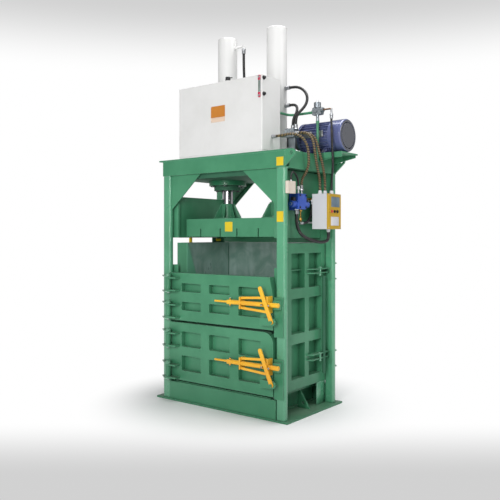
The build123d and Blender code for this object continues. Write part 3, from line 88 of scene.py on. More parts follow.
def linear(colour: str) -> Colour:
    """Turn an sRGB hex colour into linear values.

    Args:
        colour: six hex digits after a hash mark.

    Returns:
        Linear red, green and blue, and a full alpha.
    """
    parts = [int(colour[index:index + 2], 16) / 255 for index in (1, 3, 5)]
    straight = [part / 12.92 if part <= 0.04045 else ((part + 0.055) / 1.055) ** 2.4 for part in parts]
    return (straight[0], straight[1], straight[2], 1.0)


class Graph:
    """A node tree, with a short method for each step that the finishes share."""

    def __init__(self, tree: bpy.types.NodeTree) -> None:
        """Empty a node tree and keep it."""
        tree.nodes.clear()
        self.tree = tree

    def feed(self, node: bpy.types.Node, settings: Settings) -> None:
        """Set properties and inputs of a node.

        Args:
            node: the node.
            settings: fixed values or the sockets to link, by property name, or by input name or number.
        """
        for key, value in settings.items():
            if isinstance(value, Socket):
                self.tree.links.new(value, node.inputs[key])
            elif isinstance(key, str) and hasattr(node, key):
                setattr(node, key, value)
            else:
                node.inputs[key].default_value = value

    def add(self, kind: str, settings: Settings | None = None) -> bpy.types.Node:
        """Add a node.

        Args:
            kind: node type without its "ShaderNode" prefix.
            settings: what its properties and inputs get.

        Returns:
            The new node.
        """
        made = self.tree.nodes.new("ShaderNode" + kind)
        self.feed(made, settings or {})
        return made

    def ramp(self, source: Socket, start: float, end: float, low: float = 0.0, high: float = 1.0) -> Socket:
        """Map the values from start to end smoothly on to those from low to high."""
        spans = {"From Min": start, "From Max": end, "To Min": low, "To Max": high}
        return self.add("MapRange", {"interpolation_type": "SMOOTHSTEP", "Value": source, **spans}).outputs[0]

    def blend(self, share: Socket, first: Colour | Socket, second: Colour | Socket) -> Socket:
        """Mix two colours by a share, which gives 0 for the first and 1 for the second."""
        return self.add("Mix", {"data_type": "RGBA", 0: share, 6: first, 7: second}).outputs[2]

    def sums(self, operation: str, first: Socket, second: float | Socket) -> Socket:
        """Work out one sum, such as "ADD", on a value and a number or another value."""
        return self.add("Math", {"operation": operation, 0: first, 1: second}).outputs[0]

    def times(self, first: Socket, second: float | Socket) -> Socket:
        """Multiply a value by a number or another value."""
        return self.sums("MULTIPLY", first, second)

    def axes(self, vector: Socket) -> bpy.types.NodeOutputs:
        """Split a vector into the sockets of its three axes."""
        return self.add("SeparateXYZ", {0: vector}).outputs


class Surface(Graph):
    """The node tree of one material, with its shader and its coordinates."""

    def __init__(self, name: str, values: Settings) -> None:
        """Start a material that holds only its shader.

        Args:
            name: name of the finish.
            values: fixed values of the shader's sockets.
        """
        self.material = bpy.data.materials.new(name)
        self.material.use_nodes = True
        super().__init__(self.material.node_tree)
        self.shader = self.add("BsdfPrincipled", values)
        self.output = self.add("OutputMaterial", {"Surface": self.shader.outputs[0]})
        coordinates = self.add("TexCoord").outputs
        self.place, self.unrolled = coordinates["Object"], coordinates["UV"]

    def noise(self, scale: float, detail: float, place: Socket | None = None, **more: float) -> Socket:
        """Add a cloudy pattern with so many clouds in a metre and finer ones over them."""
        settings = {"Scale": scale, "Detail": detail, "Vector": place or self.place, **more}
        return self.add("TexNoise", settings).outputs[0]

    def stretched(self, *scale: float) -> Socket:
        """Scale the object's coordinates, so that a pattern is drawn out along one of them."""
        return self.add("Mapping", {"Scale": scale, "Vector": self.place}).outputs[0]

    def openness(self, reach: float) -> Socket:
        """Tell open faces (1) from corners (0) within a reach."""
        return self.add("AmbientOcclusion", {"samples": 4, "Distance": reach}).outputs["AO"]

    def round_edges(self, radius: float) -> Socket:
        """Give a normal that rounds the edges to a radius."""
        return self.add("Bevel", {"samples": 4, "Radius": radius}).outputs[0]

    def bump(self, height: Socket, strength: float, depth: float, normal: Socket | None = None) -> Socket:
        """Raise the surface by a pattern, to a depth in metres, from a normal where there is one."""
        settings = {"Strength": strength, "Distance": depth, "Height": height}
        return self.add("Bump", {**settings, "Normal": normal} if normal else settings).outputs[0]

    def close(self, settings: Settings) -> bpy.types.Material:
        """Feed the shader and give the finished material."""
        self.feed(self.shader, settings)
        return self.material


@dataclass(frozen=True)
class Finish(ABC):
    """What every finish has: a name, the record's slot, a colour and the shade it clouds into."""

    name: str
    slot: str
    colour: str
    shade: str

    @abstractmethod
    def build(self) -> bpy.types.Material:
        """Make the material."""


@dataclass(frozen=True)
class Enamel(Finish):
    """Sprayed alkyd machine enamel over steel.

    Glossy with a faint orange peel, cloudier where the coat is thin, paler along edges (partly wear, partly a painted
    highlight), dusty on level faces, darker towards the bottom, and darker in the corners as painted shade.
    """

    # Colour of the paler edges: partly worn paint, partly a painted edge highlight
    edge_wear_and_highlight: str
    dust: str = "#A3A69C"
    roughness: float = 0.30
    coat: float = 0.12
    # How far the edges pale: wear together with the painted edge highlight
    wear_and_highlight: float = 0.75
    # Strength of dirt streaks, dust, the darkening towards the bottom and the painted shade in corners
    grime_and_shade: float = 0.45
    edge: float = 0.0035
    # Whether bales have worn the inside of the chamber bare, and the feed side's paint is lightened as painted light
    chamber: bool = False
    # A second colour: the axis, the place on it where that colour starts, and the colour
    beyond: tuple[int, float, str] | None = None

    def build(self) -> bpy.types.Material:
        """Make the material.

        Returns:
            The finished material.
        """
        net = Surface(self.name, {
            "Metallic": 0.0, "IOR": 1.5, "Specular IOR Level": 0.32, "Coat Weight": self.coat, "Coat Roughness": 0.12,
        })
        normal = net.add("NewGeometry").outputs["Normal"]
        clouds = net.noise(2.6, 4.0, Roughness=0.6)
        axes = net.axes(net.place)
        runs = net.noise(1.0, 5.0, net.stretched(17.0, 17.0, 1.2))
        scuffs = net.noise(38.0, 6.0, Roughness=0.7)
        colour = net.blend(net.ramp(clouds, 0.35, 0.7, 0.0, 0.62), linear(self.colour), linear(self.shade))
        colour = net.blend(net.ramp(runs, 0.55, 0.78, 0.0, 0.4 * self.grime_and_shade), colour, linear(self.shade))
        if self.beyond:
            axis, limit, second = self.beyond
            colour = net.blend(net.sums("GREATER_THAN", axes[axis], limit), colour, linear(second))
        # Darker towards the bottom, below 0.75 m
        colour = net.blend(net.ramp(axes[2], 0.75, 0.0, 0.0, 0.9 * self.grime_and_shade), colour, self.darkened(0.6))
        # Painted shade: darker where corners close in
        openness = net.openness(0.05)
        colour = net.blend(net.ramp(openness, 0.75, 0.25, 0.0, self.grime_and_shade), colour, self.darkened(0.35))
        dust = net.ramp(net.axes(normal)[2], 0.7, 0.98, 0.0, 0.55 * self.grime_and_shade)
        dust = net.times(dust, net.ramp(clouds, 0.35, 0.65, 0.4, 1.0))
        colour = net.blend(dust, colour, linear(self.dust))
        # Paler along convex edges: partly worn paint, partly a painted edge highlight
        rounded = net.round_edges(self.edge)
        turn = net.add("VectorMath", {"operation": "DOT_PRODUCT", 0: rounded, 1: normal})
        edge_wear_and_highlight = net.ramp(turn.outputs["Value"], 0.99, 0.86)
        edge_wear_and_highlight = net.times(edge_wear_and_highlight, net.ramp(scuffs, 0.38, 0.62, 0.25, self.wear_and_highlight))
        edge_wear_and_highlight = net.times(edge_wear_and_highlight, net.ramp(openness, 0.55, 0.9))
        colour = net.blend(edge_wear_and_highlight, colour, linear(self.edge_wear_and_highlight))
        roughness = net.ramp(clouds, 0.3, 0.7, self.roughness, self.roughness + 0.14)
        roughness = net.sums("ADD", roughness, net.times(dust, 0.35))
        # The real orange peel is about 2 mm; it is drawn at about 9 mm so that it shows.
        peel = net.noise(115.0, 2.0)
        links = {"Coat Normal": rounded}
        if self.chamber:
            colour, roughness, links["Metallic"] = self.rub_chamber(net, colour, roughness)
        bump = net.bump(peel, 0.16, 0.0012, rounded)
        return net.close({"Base Color": colour, "Roughness": roughness, "Normal": bump, **links})

    def darkened(self, share: float) -> Colour:
        """Darken the paint's shade to a share of its light, for the darkening towards the bottom and the painted
        shade in corners.
        """
        red, green, blue, alpha = linear(self.shade)
        return (red * share, green * share, blue * share, alpha)

    def rub_chamber(self, net: Surface, colour: Socket, roughness: Socket) -> tuple[Socket, Socket, Socket]:
        """Polish the faces that bales slide along, inside the chamber, down to stained steel, and lighten the paint
        on the feed side toward a pale green, as painted light against the chamber's shade.

        Args:
            net: node tree of the material.
            colour: socket of the paint's colour.
            roughness: socket of the paint's roughness.

        Returns:
            The sockets of colour, roughness and metallic share.
        """
        unworn_lit_green, stain, haze, bright = (linear(colour) for colour in ("#7CC4A2", "#7F9E92", "#94AFA6", "#C2D2D0"))
        across, deep, tall = CHAMBER_HALF
        centred = net.add("Mapping", {
            "Location": (0.0, 0.0, -CHAMBER_MIDDLE / tall), "Scale": (1 / across, 1 / deep, 1 / tall),
            "Vector": net.place,
        })
        sides = net.axes(net.add("VectorMath", {"operation": "ABSOLUTE", 0: centred.outputs[0]}).outputs[0])
        largest = net.sums("MAXIMUM", net.sums("MAXIMUM", sides[0], sides[1]), sides[2])
        inside = net.sums("LESS_THAN", largest, 1.0)
        axes = net.axes(net.place)
        # Paint stays on the feed side of a slanting line; bales have rubbed it off behind that line.
        fed_line = net.sums("ADD", axes[1], net.times(axes[2], 0.39))
        behind = net.ramp(fed_line, FRONT + 0.700, FRONT + 0.735)
        # Painted light: the unworn paint on the feed side is blended toward a pale green against the shade inside the
        # chamber
        unworn_lit_zone = net.times(inside, net.sums("ADD", net.times(behind, -1.0), 1.0))
        colour = net.blend(net.times(unworn_lit_zone, 0.6), colour, unworn_lit_green)
        inside = net.times(inside, behind)
        rubs = net.noise(1.0, 7.0, net.stretched(7.0, 7.0, 1.1), Roughness=0.62)
        patches = net.noise(5.0, 5.0, Distortion=1.2)
        bare = net.times(net.ramp(rubs, 0.30, 0.75), net.ramp(patches, 0.25, 0.75))
        bare = net.times(bare, inside)
        stained = net.blend(net.ramp(patches, 0.3, 0.7), stain, haze)
        colour = net.blend(net.times(inside, 0.95), colour, stained)
        colour = net.blend(net.times(bare, 0.8), colour, bright)
        roughness = net.sums("SUBTRACT", roughness, net.times(bare, 0.14))
        return colour, roughness, net.times(inside, 0.35)


@dataclass(frozen=True)
class Metal(Finish):
    """Bare or plated metal, as turned, ground, cast or drawn.

    Clear reflections broken by fine tool lines or grain, with darker stains in patches and painted shade in the
    corners.
    """

    roughness: float = 0.3
    grain: float = 260.0
    relief: float = 0.12
    stained: float = 0.35

    def build(self) -> bpy.types.Material:
        """Make the material.

        Returns:
            The finished material.
        """
        net = Surface(self.name, {"Metallic": 1.0})
        clouds, grain = net.noise(22.0, 5.0), net.noise(self.grain, 3.0)
        openness = net.openness(0.02)
        share = net.ramp(clouds, 0.4, 0.7, 0.0, self.stained)
        # Painted shade: the colour darkens towards its shade in corners
        share = net.sums("MAXIMUM", share, net.ramp(openness, 0.7, 0.2, 0.0, 0.8))
        colour = net.blend(share, linear(self.colour), linear(self.shade))
        roughness = net.ramp(grain, 0.3, 0.7, self.roughness * 0.8, self.roughness * 1.3)
        bump = net.bump(grain, self.relief, 0.0006, net.round_edges(0.0012))
        return net.close({"Base Color": colour, "Roughness": roughness, "Normal": bump})


@dataclass(frozen=True)
class Plastic(Finish):
    """Moulded plastic, with the fine spark-eroded grain of its mould.

    An even colour, slightly paler where it is handled, and a soft broken sheen.
    """

    roughness: float = 0.45
    relief: float = 0.18

    def build(self) -> bpy.types.Material:
        """Make the material.

        Returns:
            The finished material.
        """
        net = Surface(self.name, {"Metallic": 0.0, "IOR": 1.49})
        clouds = net.noise(14.0, 4.0)
        # The mould's grain is about 0.3 mm; it is drawn at about 3 mm so that it shows.
        grain = net.noise(320.0, 2.0)
        colour = net.blend(net.ramp(clouds, 0.35, 0.7), linear(self.colour), linear(self.shade))
        roughness = net.ramp(clouds, 0.3, 0.7, self.roughness, self.roughness + 0.12)
        bump = net.bump(grain, self.relief, 0.0005, net.round_edges(0.0015))
        return net.close({"Base Color": colour, "Roughness": roughness, "Normal": bump})


@dataclass(frozen=True)
class HoseCover(Finish):
    """Extruded rubber hose cover, wrapped while it cured or sleeved in a spiral guard.

    Dull black with a fine wrap mark, or brown and black turns that follow the hose.
    """

    length: float
    pitch: float
    roughness: float
    contrast: float

    def build(self) -> bpy.types.Material:
        """Make the material.

        Returns:
            The finished material.
        """
        net = Surface(self.name, {"Metallic": 0.0, "IOR": 1.52})
        along = net.axes(net.unrolled)
        spiral = net.sums("ADD", net.times(along[0], self.length / self.pitch), along[1])
        height = net.add("Math", {"operation": "SINE", 0: net.times(spiral, 2 * math.pi)}).outputs[0]
        share = net.ramp(height, -0.25, 0.35, 0.0, self.contrast)
        soil = net.noise(30.0, 5.0)
        colour = net.blend(share, linear(self.colour), linear(self.shade))
        colour = net.blend(net.ramp(soil, 0.5, 0.8, 0.0, 0.35), colour, linear("#5E584C"))
        roughness = net.ramp(soil, 0.3, 0.7, self.roughness - 0.08, self.roughness + 0.12)
        return net.close({"Base Color": colour, "Roughness": roughness, "Normal": net.bump(height, 0.5, 0.0012)})


@dataclass(frozen=True)
class SightGlass(Finish):
    """Cast acrylic over oil: clear and glossy, tinted by what stands behind it."""

    def build(self) -> bpy.types.Material:
        """Make the material.

        Returns:
            The finished material.
        """
        net = Surface(self.name, {
            "Metallic": 0.0, "IOR": 1.49, "Coat Weight": 0.8, "Coat Roughness": 0.03, "Transmission Weight": 0.08,
        })
        film = net.noise(60.0, 3.0)
        colour = net.blend(net.ramp(film, 0.3, 0.7), linear(self.colour), linear(self.shade))
        return net.close({"Base Color": colour, "Roughness": net.ramp(film, 0.3, 0.7, 0.05, 0.14)})


GREEN = Enamel("green_machine_enamel", "green_paint", "#4A8E6A", "#377A58", "#93C9AC", chamber=True)
# Its wide rounded edges take the pale edge colour along the post corners: partly wear, partly a painted highlight
POST_GREEN = Enamel(
    "green_post_enamel", "green_paint", "#57A17B", "#458C69", "#B4E0C8", roughness=0.24, coat=1.0, edge=0.020
)
# A darker, duller copy of the machine green, used as painted shade on parts that sit in shade: the crown plate and
# glands under the top, the rod in the side gap and the block in the slit
SHADED_GREEN = Enamel("shaded_green_enamel", "green_paint", "#35684F", "#2A5642", "#6FAE8E", roughness=0.6, coat=0.0)
YELLOW = Enamel(
    "yellow_latch_enamel", "yellow_paint", "#F4BE34", "#E39A2C", "#FFE890", wear_and_highlight=0.5, grime_and_shade=0.35, edge=0.003
)
WHITE = Enamel(
    "white_tank_enamel", "white_paint", "#DDDDDC", "#D2D2D0", "#EEEEEC", dust="#C9C8C2", wear_and_highlight=0.4, grime_and_shade=0.16
)
CYLINDER_WHITE = Enamel(
    "white_over_green_cylinder_enamel", "white_paint", "#2F7A54", "#266347", "#E8E8E6", dust="#CFCEC8", wear_and_highlight=0.4,
    grime_and_shade=0.16, beyond=(2, 2.186, "#DCDCDB"),
)
MOTOR_BLUE = Enamel(
    "dark_blue_motor_enamel", "motor_blue", "#545C88", "#3E4470", "#9CA4C8", wear_and_highlight=0.9, grime_and_shade=0.4, roughness=0.22,
    coat=0.8,
)
FAN_COVER_BLUE = Enamel(
    "blue_fan_cover_enamel", "motor_blue", "#5C6490", "#464C78", "#9CA4C8", wear_and_highlight=0.8, grime_and_shade=0.4, roughness=0.22,
    coat=0.8, beyond=(0, 0.9022, "#55575E"),
)
VALVE_BLUE = Enamel(
    "blue_valve_enamel", "valve_blue", "#3558B8", "#274492", "#8FB0EA", wear_and_highlight=0.6, grime_and_shade=0.3, edge=0.002
)
BOX_GREY = Enamel("light_grey_box_enamel", "grey_box", "#D8D8DC", "#C8C8CE", "#F0F0F2", wear_and_highlight=0.4, grime_and_shade=0.22)
PANEL_YELLOW = Enamel("ochre_panel_enamel", "yellow_panel", "#C9A227", "#AE8A20", "#EBD27A", wear_and_highlight=0.4, grime_and_shade=0.3)
PATCH_YELLOW = Enamel(
    "yellow_patch_enamel", "yellow_panel", "#E2C62C", "#CDAE24", "#F6E890", wear_and_highlight=0.3, grime_and_shade=0.2, edge=0.001
)
PLATE_ORANGE = Enamel(
    "ochre_plate_enamel", "yellow_panel", "#C98432", "#B0682A", "#E8B878", wear_and_highlight=0.4, grime_and_shade=0.15, edge=0.001
)
PLATE_WHITE = Enamel(
    "pale_plate_enamel", "white_paint", "#E4CDB8", "#CDB09A", "#F4F0EA", wear_and_highlight=0.3, grime_and_shade=0.12, edge=0.001
)
CHROME = Metal("hard_chrome_plate", "steel", "#D6D2D8", "#8E8A94", roughness=0.09, relief=0.03, stained=0.25)
ZINC = Metal("zinc_plated_steel", "steel", "#B4B6B9", "#76787C", roughness=0.32)
BLACKENED = Metal("oil_blackened_steel", "steel", "#4A4B4F", "#252528", roughness=0.38)
BRASS = Metal("turned_brass", "brass", "#B08A45", "#6E5526", roughness=0.28)
COPPER = Metal("drawn_copper_pipe", "brass", "#8C6A50", "#5A4030", roughness=0.34)
CASTING = Metal("cast_aluminium", "steel", "#9FA6AC", "#646A70", roughness=0.42, grain=420.0, relief=0.4)
IRON = Metal("grey_cast_iron", "steel", "#6E7074", "#3C3D41", roughness=0.5, grain=380.0, relief=0.5)
BEIGE = Plastic("beige_moulded_plastic", "beige_plastic", "#CFC3B4", "#DCD2C6")
BLACK = Plastic("black_moulded_plastic", "black_plastic", "#1A1A1C", "#29292C")
GLAND_WHITE = Plastic("white_gland_plastic", "beige_plastic", "#D9DADC", "#E8E9EA", roughness=0.36)
PANEL_BLUE = Plastic("slate_panel_plastic", "grey_box", "#5D7180", "#758793", roughness=0.3)
RED = Plastic("red_button_plastic", "black_plastic", "#B8242A", "#D4444A", roughness=0.28)
OIL_GLASS = SightGlass("acrylic_over_oil", "gauge_clear", "#6E8578", "#52675C")
RED_GLASS = SightGlass("red_acrylic_end", "gauge_clear", "#D02850", "#B01C42")


class PaintShop:
    """Makes each finish once and puts it on the frame's own solids."""

    def __init__(self) -> None:
        """Start with no finish made."""
        self.made: dict[str, bpy.types.Material] = {}

    def material(self, finish: Finish) -> bpy.types.Material:
        """Give the material of a finish, made at its first use.

        Args:
            finish: the finish that is wanted.

        Returns:
            Its material.
        """
        if finish.name not in self.made:
            self.made[finish.name] = finish.build()
        return self.made[finish.name]

    def coat(self, piece: Part, finish: Finish) -> None:
        """Put one finish on every slot of a piece.

        Args:
            piece: a new piece or a solid of the frame.
            finish: the finish that it gets.
        """
        if not piece.material_slots:
            piece.data.materials.append(None)
        for slot in piece.material_slots:
            slot.material = self.material(finish)

    def coat_frame(self, nodes: dict[str, Part]) -> None:
        """Put a finish on every solid that came with the frame.

        Args:
            nodes: the solids by name.
        """
        latches = tuple(f"{level}_latch_{part}" for level in ("upper", "lower") for part in ("bolt", "lever", "yoke"))
        groups: dict[Finish, tuple[str, ...]] = {
            YELLOW: latches,
            WHITE: ("oil_tank",),
            CYLINDER_WHITE: ("barrel_left", "barrel_right"),
            MOTOR_BLUE: ("motor_body",),
            FAN_COVER_BLUE: ("fan_cover",),
            SHADED_GREEN: ("crown_plate", "glands"),
            POST_GREEN: ("front_posts", "rear_posts"),
            IRON: ("pump",),
            VALVE_BLUE: ("valve_block",),
            BOX_GREY: ("control_box",),
            PANEL_YELLOW: ("control_box_door",),
            CHROME: ("piston_rods",),
            ZINC: ("hinge_pins", "flange_bolts", "rear_bolt", "motor_rotor", "pipe_fittings"),
            CASTING: ("manifold", "relief_head"),
            BEIGE: ("pressure_switch",),
            BLACK: ("filler_cap",),
            OIL_GLASS: ("level_gauge",),
        }
        finishes = {name: finish for finish, names in groups.items() for name in names}
        for name, solid in nodes.items():
            self.coat(solid, finishes.get(name, GREEN))


class Bench:
    """Modelling steps: each one selects what it acts on and leaves a clean piece."""

    @staticmethod
    def clear() -> None:
        """Leave edit mode and deselect everything."""
        if bpy.context.object and bpy.context.object.mode != "OBJECT":
            bpy.ops.object.mode_set(mode="OBJECT")
        bpy.ops.object.select_all(action="DESELECT")

    @staticmethod
    def hold(piece: Part) -> None:
        """Make one piece the only one selected, and the active one.

        Args:
            piece: the piece.
        """
        Bench.clear()
        piece.select_set(True)
        bpy.context.view_layer.objects.active = piece

    @staticmethod
    def open_mesh() -> None:
        """Go into edit mode with the whole mesh of the active piece selected."""
        bpy.ops.object.mode_set(mode="EDIT")
        bpy.ops.mesh.select_all(action="SELECT")

    @staticmethod
    def close_mesh() -> None:
        """Turn all faces of the piece in edit mode outwards, and go back to object mode."""
        bpy.ops.mesh.select_all(action="SELECT")
        bpy.ops.mesh.normals_make_consistent(inside=False)
        bpy.ops.object.mode_set(mode="OBJECT")

    @staticmethod
    def turned(*profile: Pair, sides: int = 32) -> Part:
        """Draw out a round or many-sided part along +Z, ring by ring.

        Args:
            profile: pairs of radius and height, from the bottom up.
            sides: number of sides, 6 for a hexagon.

        Returns:
            The part, on the Z axis.
        """
        Bench.clear()
        radius, low = profile[0]
        bpy.ops.mesh.primitive_circle_add(
            vertices=sides, radius=radius, fill_type="NGON", location=(0.0, 0.0, 0.0)
        )
        part = bpy.context.object
        Bench.open_mesh()
        bpy.ops.transform.translate(value=(0.0, 0.0, low))
        for (before, below), (after, above) in zip(profile, profile[1:]):
            bpy.ops.mesh.extrude_region_move(TRANSFORM_OT_translate={"value": (0.0, 0.0, above - below)})
            if abs(after - before) > 1e-9:
                share = after / before
                bpy.ops.transform.resize(value=(share, share, 1.0), center_override=(0.0, 0.0, above))
        Bench.close_mesh()
        return part

    @staticmethod
    def slab(low: Point, high: Point, edge: float = 0.001, segments: int = 2) -> Part:
        """Shape a block between two opposite corners, with its edges rounded.

        Args:
            low: one corner.
            high: the corner opposite.
            edge: radius of the edges.
            segments: facets in each rounded edge.

        Returns:
            The block.
        """
        Bench.clear()
        middle = [(a + b) / 2 for a, b in zip(low, high)]
        size = [abs(b - a) for a, b in zip(low, high)]
        bpy.ops.mesh.primitive_cube_add(size=1.0, location=middle)
        block = bpy.context.object
        block.scale = size
        bpy.ops.object.transform_apply(location=True, rotation=True, scale=True)
        Bench.open_mesh()
        bpy.ops.mesh.bevel(offset=min(edge, 0.45 * min(size)), segments=segments, affect="EDGES")
        Bench.close_mesh()
        return block

    @staticmethod
    def sink(piece: Part, way: Point, margin: float, depth: float, least: float) -> None:
        """Inset the faces that look one way and push them in or out.

        Args:
            piece: the piece to shape.
            way: direction that the faces look in.
            margin: width of the rim that is left.
            depth: how far the middle moves along its normal.
            least: smallest area of a face that counts.
        """
        Bench.hold(piece)
        bpy.ops.object.mode_set(mode="EDIT")
        bpy.ops.mesh.select_mode(type="FACE")
        bpy.ops.mesh.select_all(action="DESELECT")
        shape = bmesh.from_edit_mesh(piece.data)
        for face in shape.faces:
            face.select = face.normal.dot(Vector(way)) > 0.99 and face.calc_area() > least
        shape.select_flush_mode()
        bmesh.update_edit_mesh(piece.data)
        bpy.ops.mesh.inset(thickness=margin, depth=0.0)
        bpy.ops.mesh.inset(thickness=min(0.3 * abs(depth) + 0.0002, 0.5 * margin), depth=depth)
        bpy.ops.object.mode_set(mode="OBJECT")

    @staticmethod
    def cut(piece: Part, point: Point, away: Point) -> Part:
        """Cut a piece along a plane and close it again.

        Args:
            piece: the piece.
            point: a point of the plane.
            away: direction of the side that falls off.

        Returns:
            The same piece.
        """
        Bench.hold(piece)
        Bench.open_mesh()
        bpy.ops.mesh.bisect(plane_co=point, plane_no=away, use_fill=True, clear_outer=True)
        bpy.ops.object.mode_set(mode="OBJECT")
        return piece

    @staticmethod
    def tube(name: str, kind: str, points: Sequence[Point | Vector], radius: float, steps: int) -> Part:
        """Draw a tube along a line of points.

        Args:
            name: name of the tube.
            kind: "NURBS" for one smooth line or "POLY" for straight runs.
            points: the points of its middle line.
            radius: its radius.
            steps: how finely it is rounded.

        Returns:
            The tube, still a curve.
        """
        curve = bpy.data.curves.new(name, "CURVE")
        curve.dimensions = "3D"
        spline = curve.splines.new(kind)
        spline.points.add(len(points) - 1)
        for control, point in zip(spline.points, points):
            control.co = (*point, 1.0)
        spline.order_u, spline.use_endpoint_u, spline.resolution_u = 3, True, 10
        curve.bevel_depth, curve.bevel_resolution, curve.use_fill_caps = radius, steps, True
        tube = bpy.data.objects.new(name, curve)
        bpy.context.scene.collection.objects.link(tube)
        return tube

    @staticmethod
    def copy(part: Part) -> Part:
        """Copy a part with its own mesh.

        Args:
            part: the part.

        Returns:
            The copy.
        """
        twin = part.copy()
        twin.data = part.data.copy()
        bpy.context.scene.collection.objects.link(twin)
        return twin

    @staticmethod
    def move(part: Part, start: Point, direction: Point, scale: float = 1.0, twist: float = 0.0) -> Part:
        """Move a part that was made along +Z to its place, in its own mesh.

        Args:
            part: the part on the Z axis.
            start: where its origin goes.
            direction: where its +Z goes.
            scale: how much larger it gets.
            twist: turn about its own axis, in radians.

        Returns:
            The same part.
        """
        turn = Vector(direction).to_track_quat("Z", "Y").to_matrix().to_4x4()
        part.data.transform(
            Matrix.Translation(start) @ turn @ Matrix.Rotation(twist, 4, "Z") @ Matrix.Scale(scale, 4)
        )
        return part

    @staticmethod
    def repeat(part: Part, moves: Iterable[Matrix]) -> list[Part]:
        """Copy a part once for each move and delete the part itself.

        Args:
            part: the part that is repeated.
            moves: where each copy goes, as seen from the part.

        Returns:
            The copies.
        """
        copies = []
        for move in moves:
            copies.append(Bench.copy(part))
            copies[-1].data.transform(move)
        Bench.drop(part)
        return copies

    @staticmethod
    def lift(part: Part, heights: Iterable[float]) -> list[Part]:
        """Repeat a part at several heights above its own."""
        return Bench.repeat(part, [Matrix.Translation((0.0, 0.0, height)) for height in heights])

    @staticmethod
    def drop(*parts: Part) -> None:
        """Delete patterns that were only made to be copied."""
        for part in parts:
            bpy.data.objects.remove(part)

    @staticmethod
    def join(*parts: Part) -> Part:
        """Join parts into one piece.

        Args:
            parts: the parts, of which the first keeps its name.

        Returns:
            The joined piece.
        """
        Bench.clear()
        for part in parts:
            part.select_set(True)
        bpy.context.view_layer.objects.active = parts[0]
        if len(parts) > 1:
            bpy.ops.object.join()
        return bpy.context.view_layer.objects.active


def facing(way: Point, points: Iterable[Point]) -> list[Placed]:
    """Pair each point with the same direction."""
    return [(point, way) for point in points]


def ring(count: int, first: float, radius: float) -> list[Pair]:
    """Share out places round a ring.

    Args:
        count: how many there are.
        first: angle of the first, in degrees.
        radius: radius of the ring.

    Returns:
        The two offsets of each place from the middle.
    """
    turns = [math.radians(first + 360 / count * index) for index in range(count)]
    return [(radius * math.cos(turn), radius * math.sin(turn)) for turn in turns]


class Pattern(Enum):
    """Standard small parts, made once each and copied where they go."""

    HEXAGON = "hexagon head on a washer"
    SOCKET = "socket head"
    DOME = "domed head"


class Kit:
    """What every sub-assembly shares: the paint shop, the small parts, and how a piece is finished."""

    def __init__(self, shop: PaintShop) -> None:
        """Keep the paint shop and make the patterns, each with a radius of 1.

        Args:
            shop: where finishes come from.
        """
        self.shop = shop
        head = Bench.turned((0.86, 0.0), (1.0, 0.08), (1.0, 0.55), (0.86, 0.7), sides=6)
        washer = Bench.turned((1.2, -0.02), (1.25, 0.02), (1.25, 0.1), (1.2, 0.14), sides=24)
        self.patterns = {
            Pattern.HEXAGON: Bench.join(head, washer),
            Pattern.SOCKET: Bench.turned(
                (0.95, 0.0), (1.0, 0.06), (1.0, 0.88), (0.94, 0.95), (0.55, 0.95), (0.5, 0.93), (0.5, 0.45),
                (0.05, 0.4), sides=24,
            ),
            Pattern.DOME: Bench.turned((1.0, 0.0), (1.0, 0.12), (0.86, 0.36), (0.6, 0.52), (0.25, 0.6), sides=20),
        }

    def finish(self, parts: Part | Sequence[Part], name: str, finish: Finish, body: Body = Body.FRAME) -> Part:
        """Join, smooth, paint, name and hang one piece.

        Args:
            parts: one part, or the parts that make the piece.
            name: name of the piece.
            finish: its finish.
            body: what it rides on.

        Returns:
            The finished piece.
        """
        piece = Bench.join(*([parts] if isinstance(parts, Part) else parts))
        Bench.hold(piece)
        bpy.ops.object.transform_apply(location=True, rotation=True, scale=True)
        bpy.ops.object.shade_smooth_by_angle(angle=math.radians(CRISP_ANGLE))
        piece.name = piece.data.name = name
        piece.data.materials.clear()
        self.shop.coat(piece, finish)
        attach(piece, body.value)
        LOG.info("%s: %d faces on %s", name, len(piece.data.polygons), body.value)
        return piece

    def scatter(
        self, pattern: Pattern, name: str, radius: float, places: Iterable[Placed], finish: Finish = ZINC,
        body: Body = Body.FRAME,
    ) -> None:
        """Copy one pattern to many places as one piece.

        Args:
            pattern: the small part.
            name: name of the piece.
            radius: size of the copies.
            places: pairs of a place and a direction.
            finish: its finish.
            body: what it rides on.
        """
        self.finish([
            Bench.move(Bench.copy(self.patterns[pattern]), start, way, radius, twist=0.4 * index)
            for index, (start, way) in enumerate(places)
        ], name, finish, body)


@dataclass(frozen=True)
class Lamp:
    """One soft light: where it hangs, what it points at, its face and its power in watts."""

    name: str
    place: Point
    target: Point
    size: Pair
    power: float

    def hang(self) -> None:
        """Hang the light."""
        data = bpy.data.lights.new(self.name, "AREA")
        data.shape = "RECTANGLE"
        (data.size, data.size_y), data.energy = self.size, self.power
        lamp = bpy.data.objects.new(self.name, data)
        lamp.location = self.place
        lamp.rotation_euler = (Vector(self.target) - Vector(self.place)).to_track_quat("-Z", "Y").to_euler()
        lamp.visible_camera = False
        bpy.context.scene.collection.objects.link(lamp)


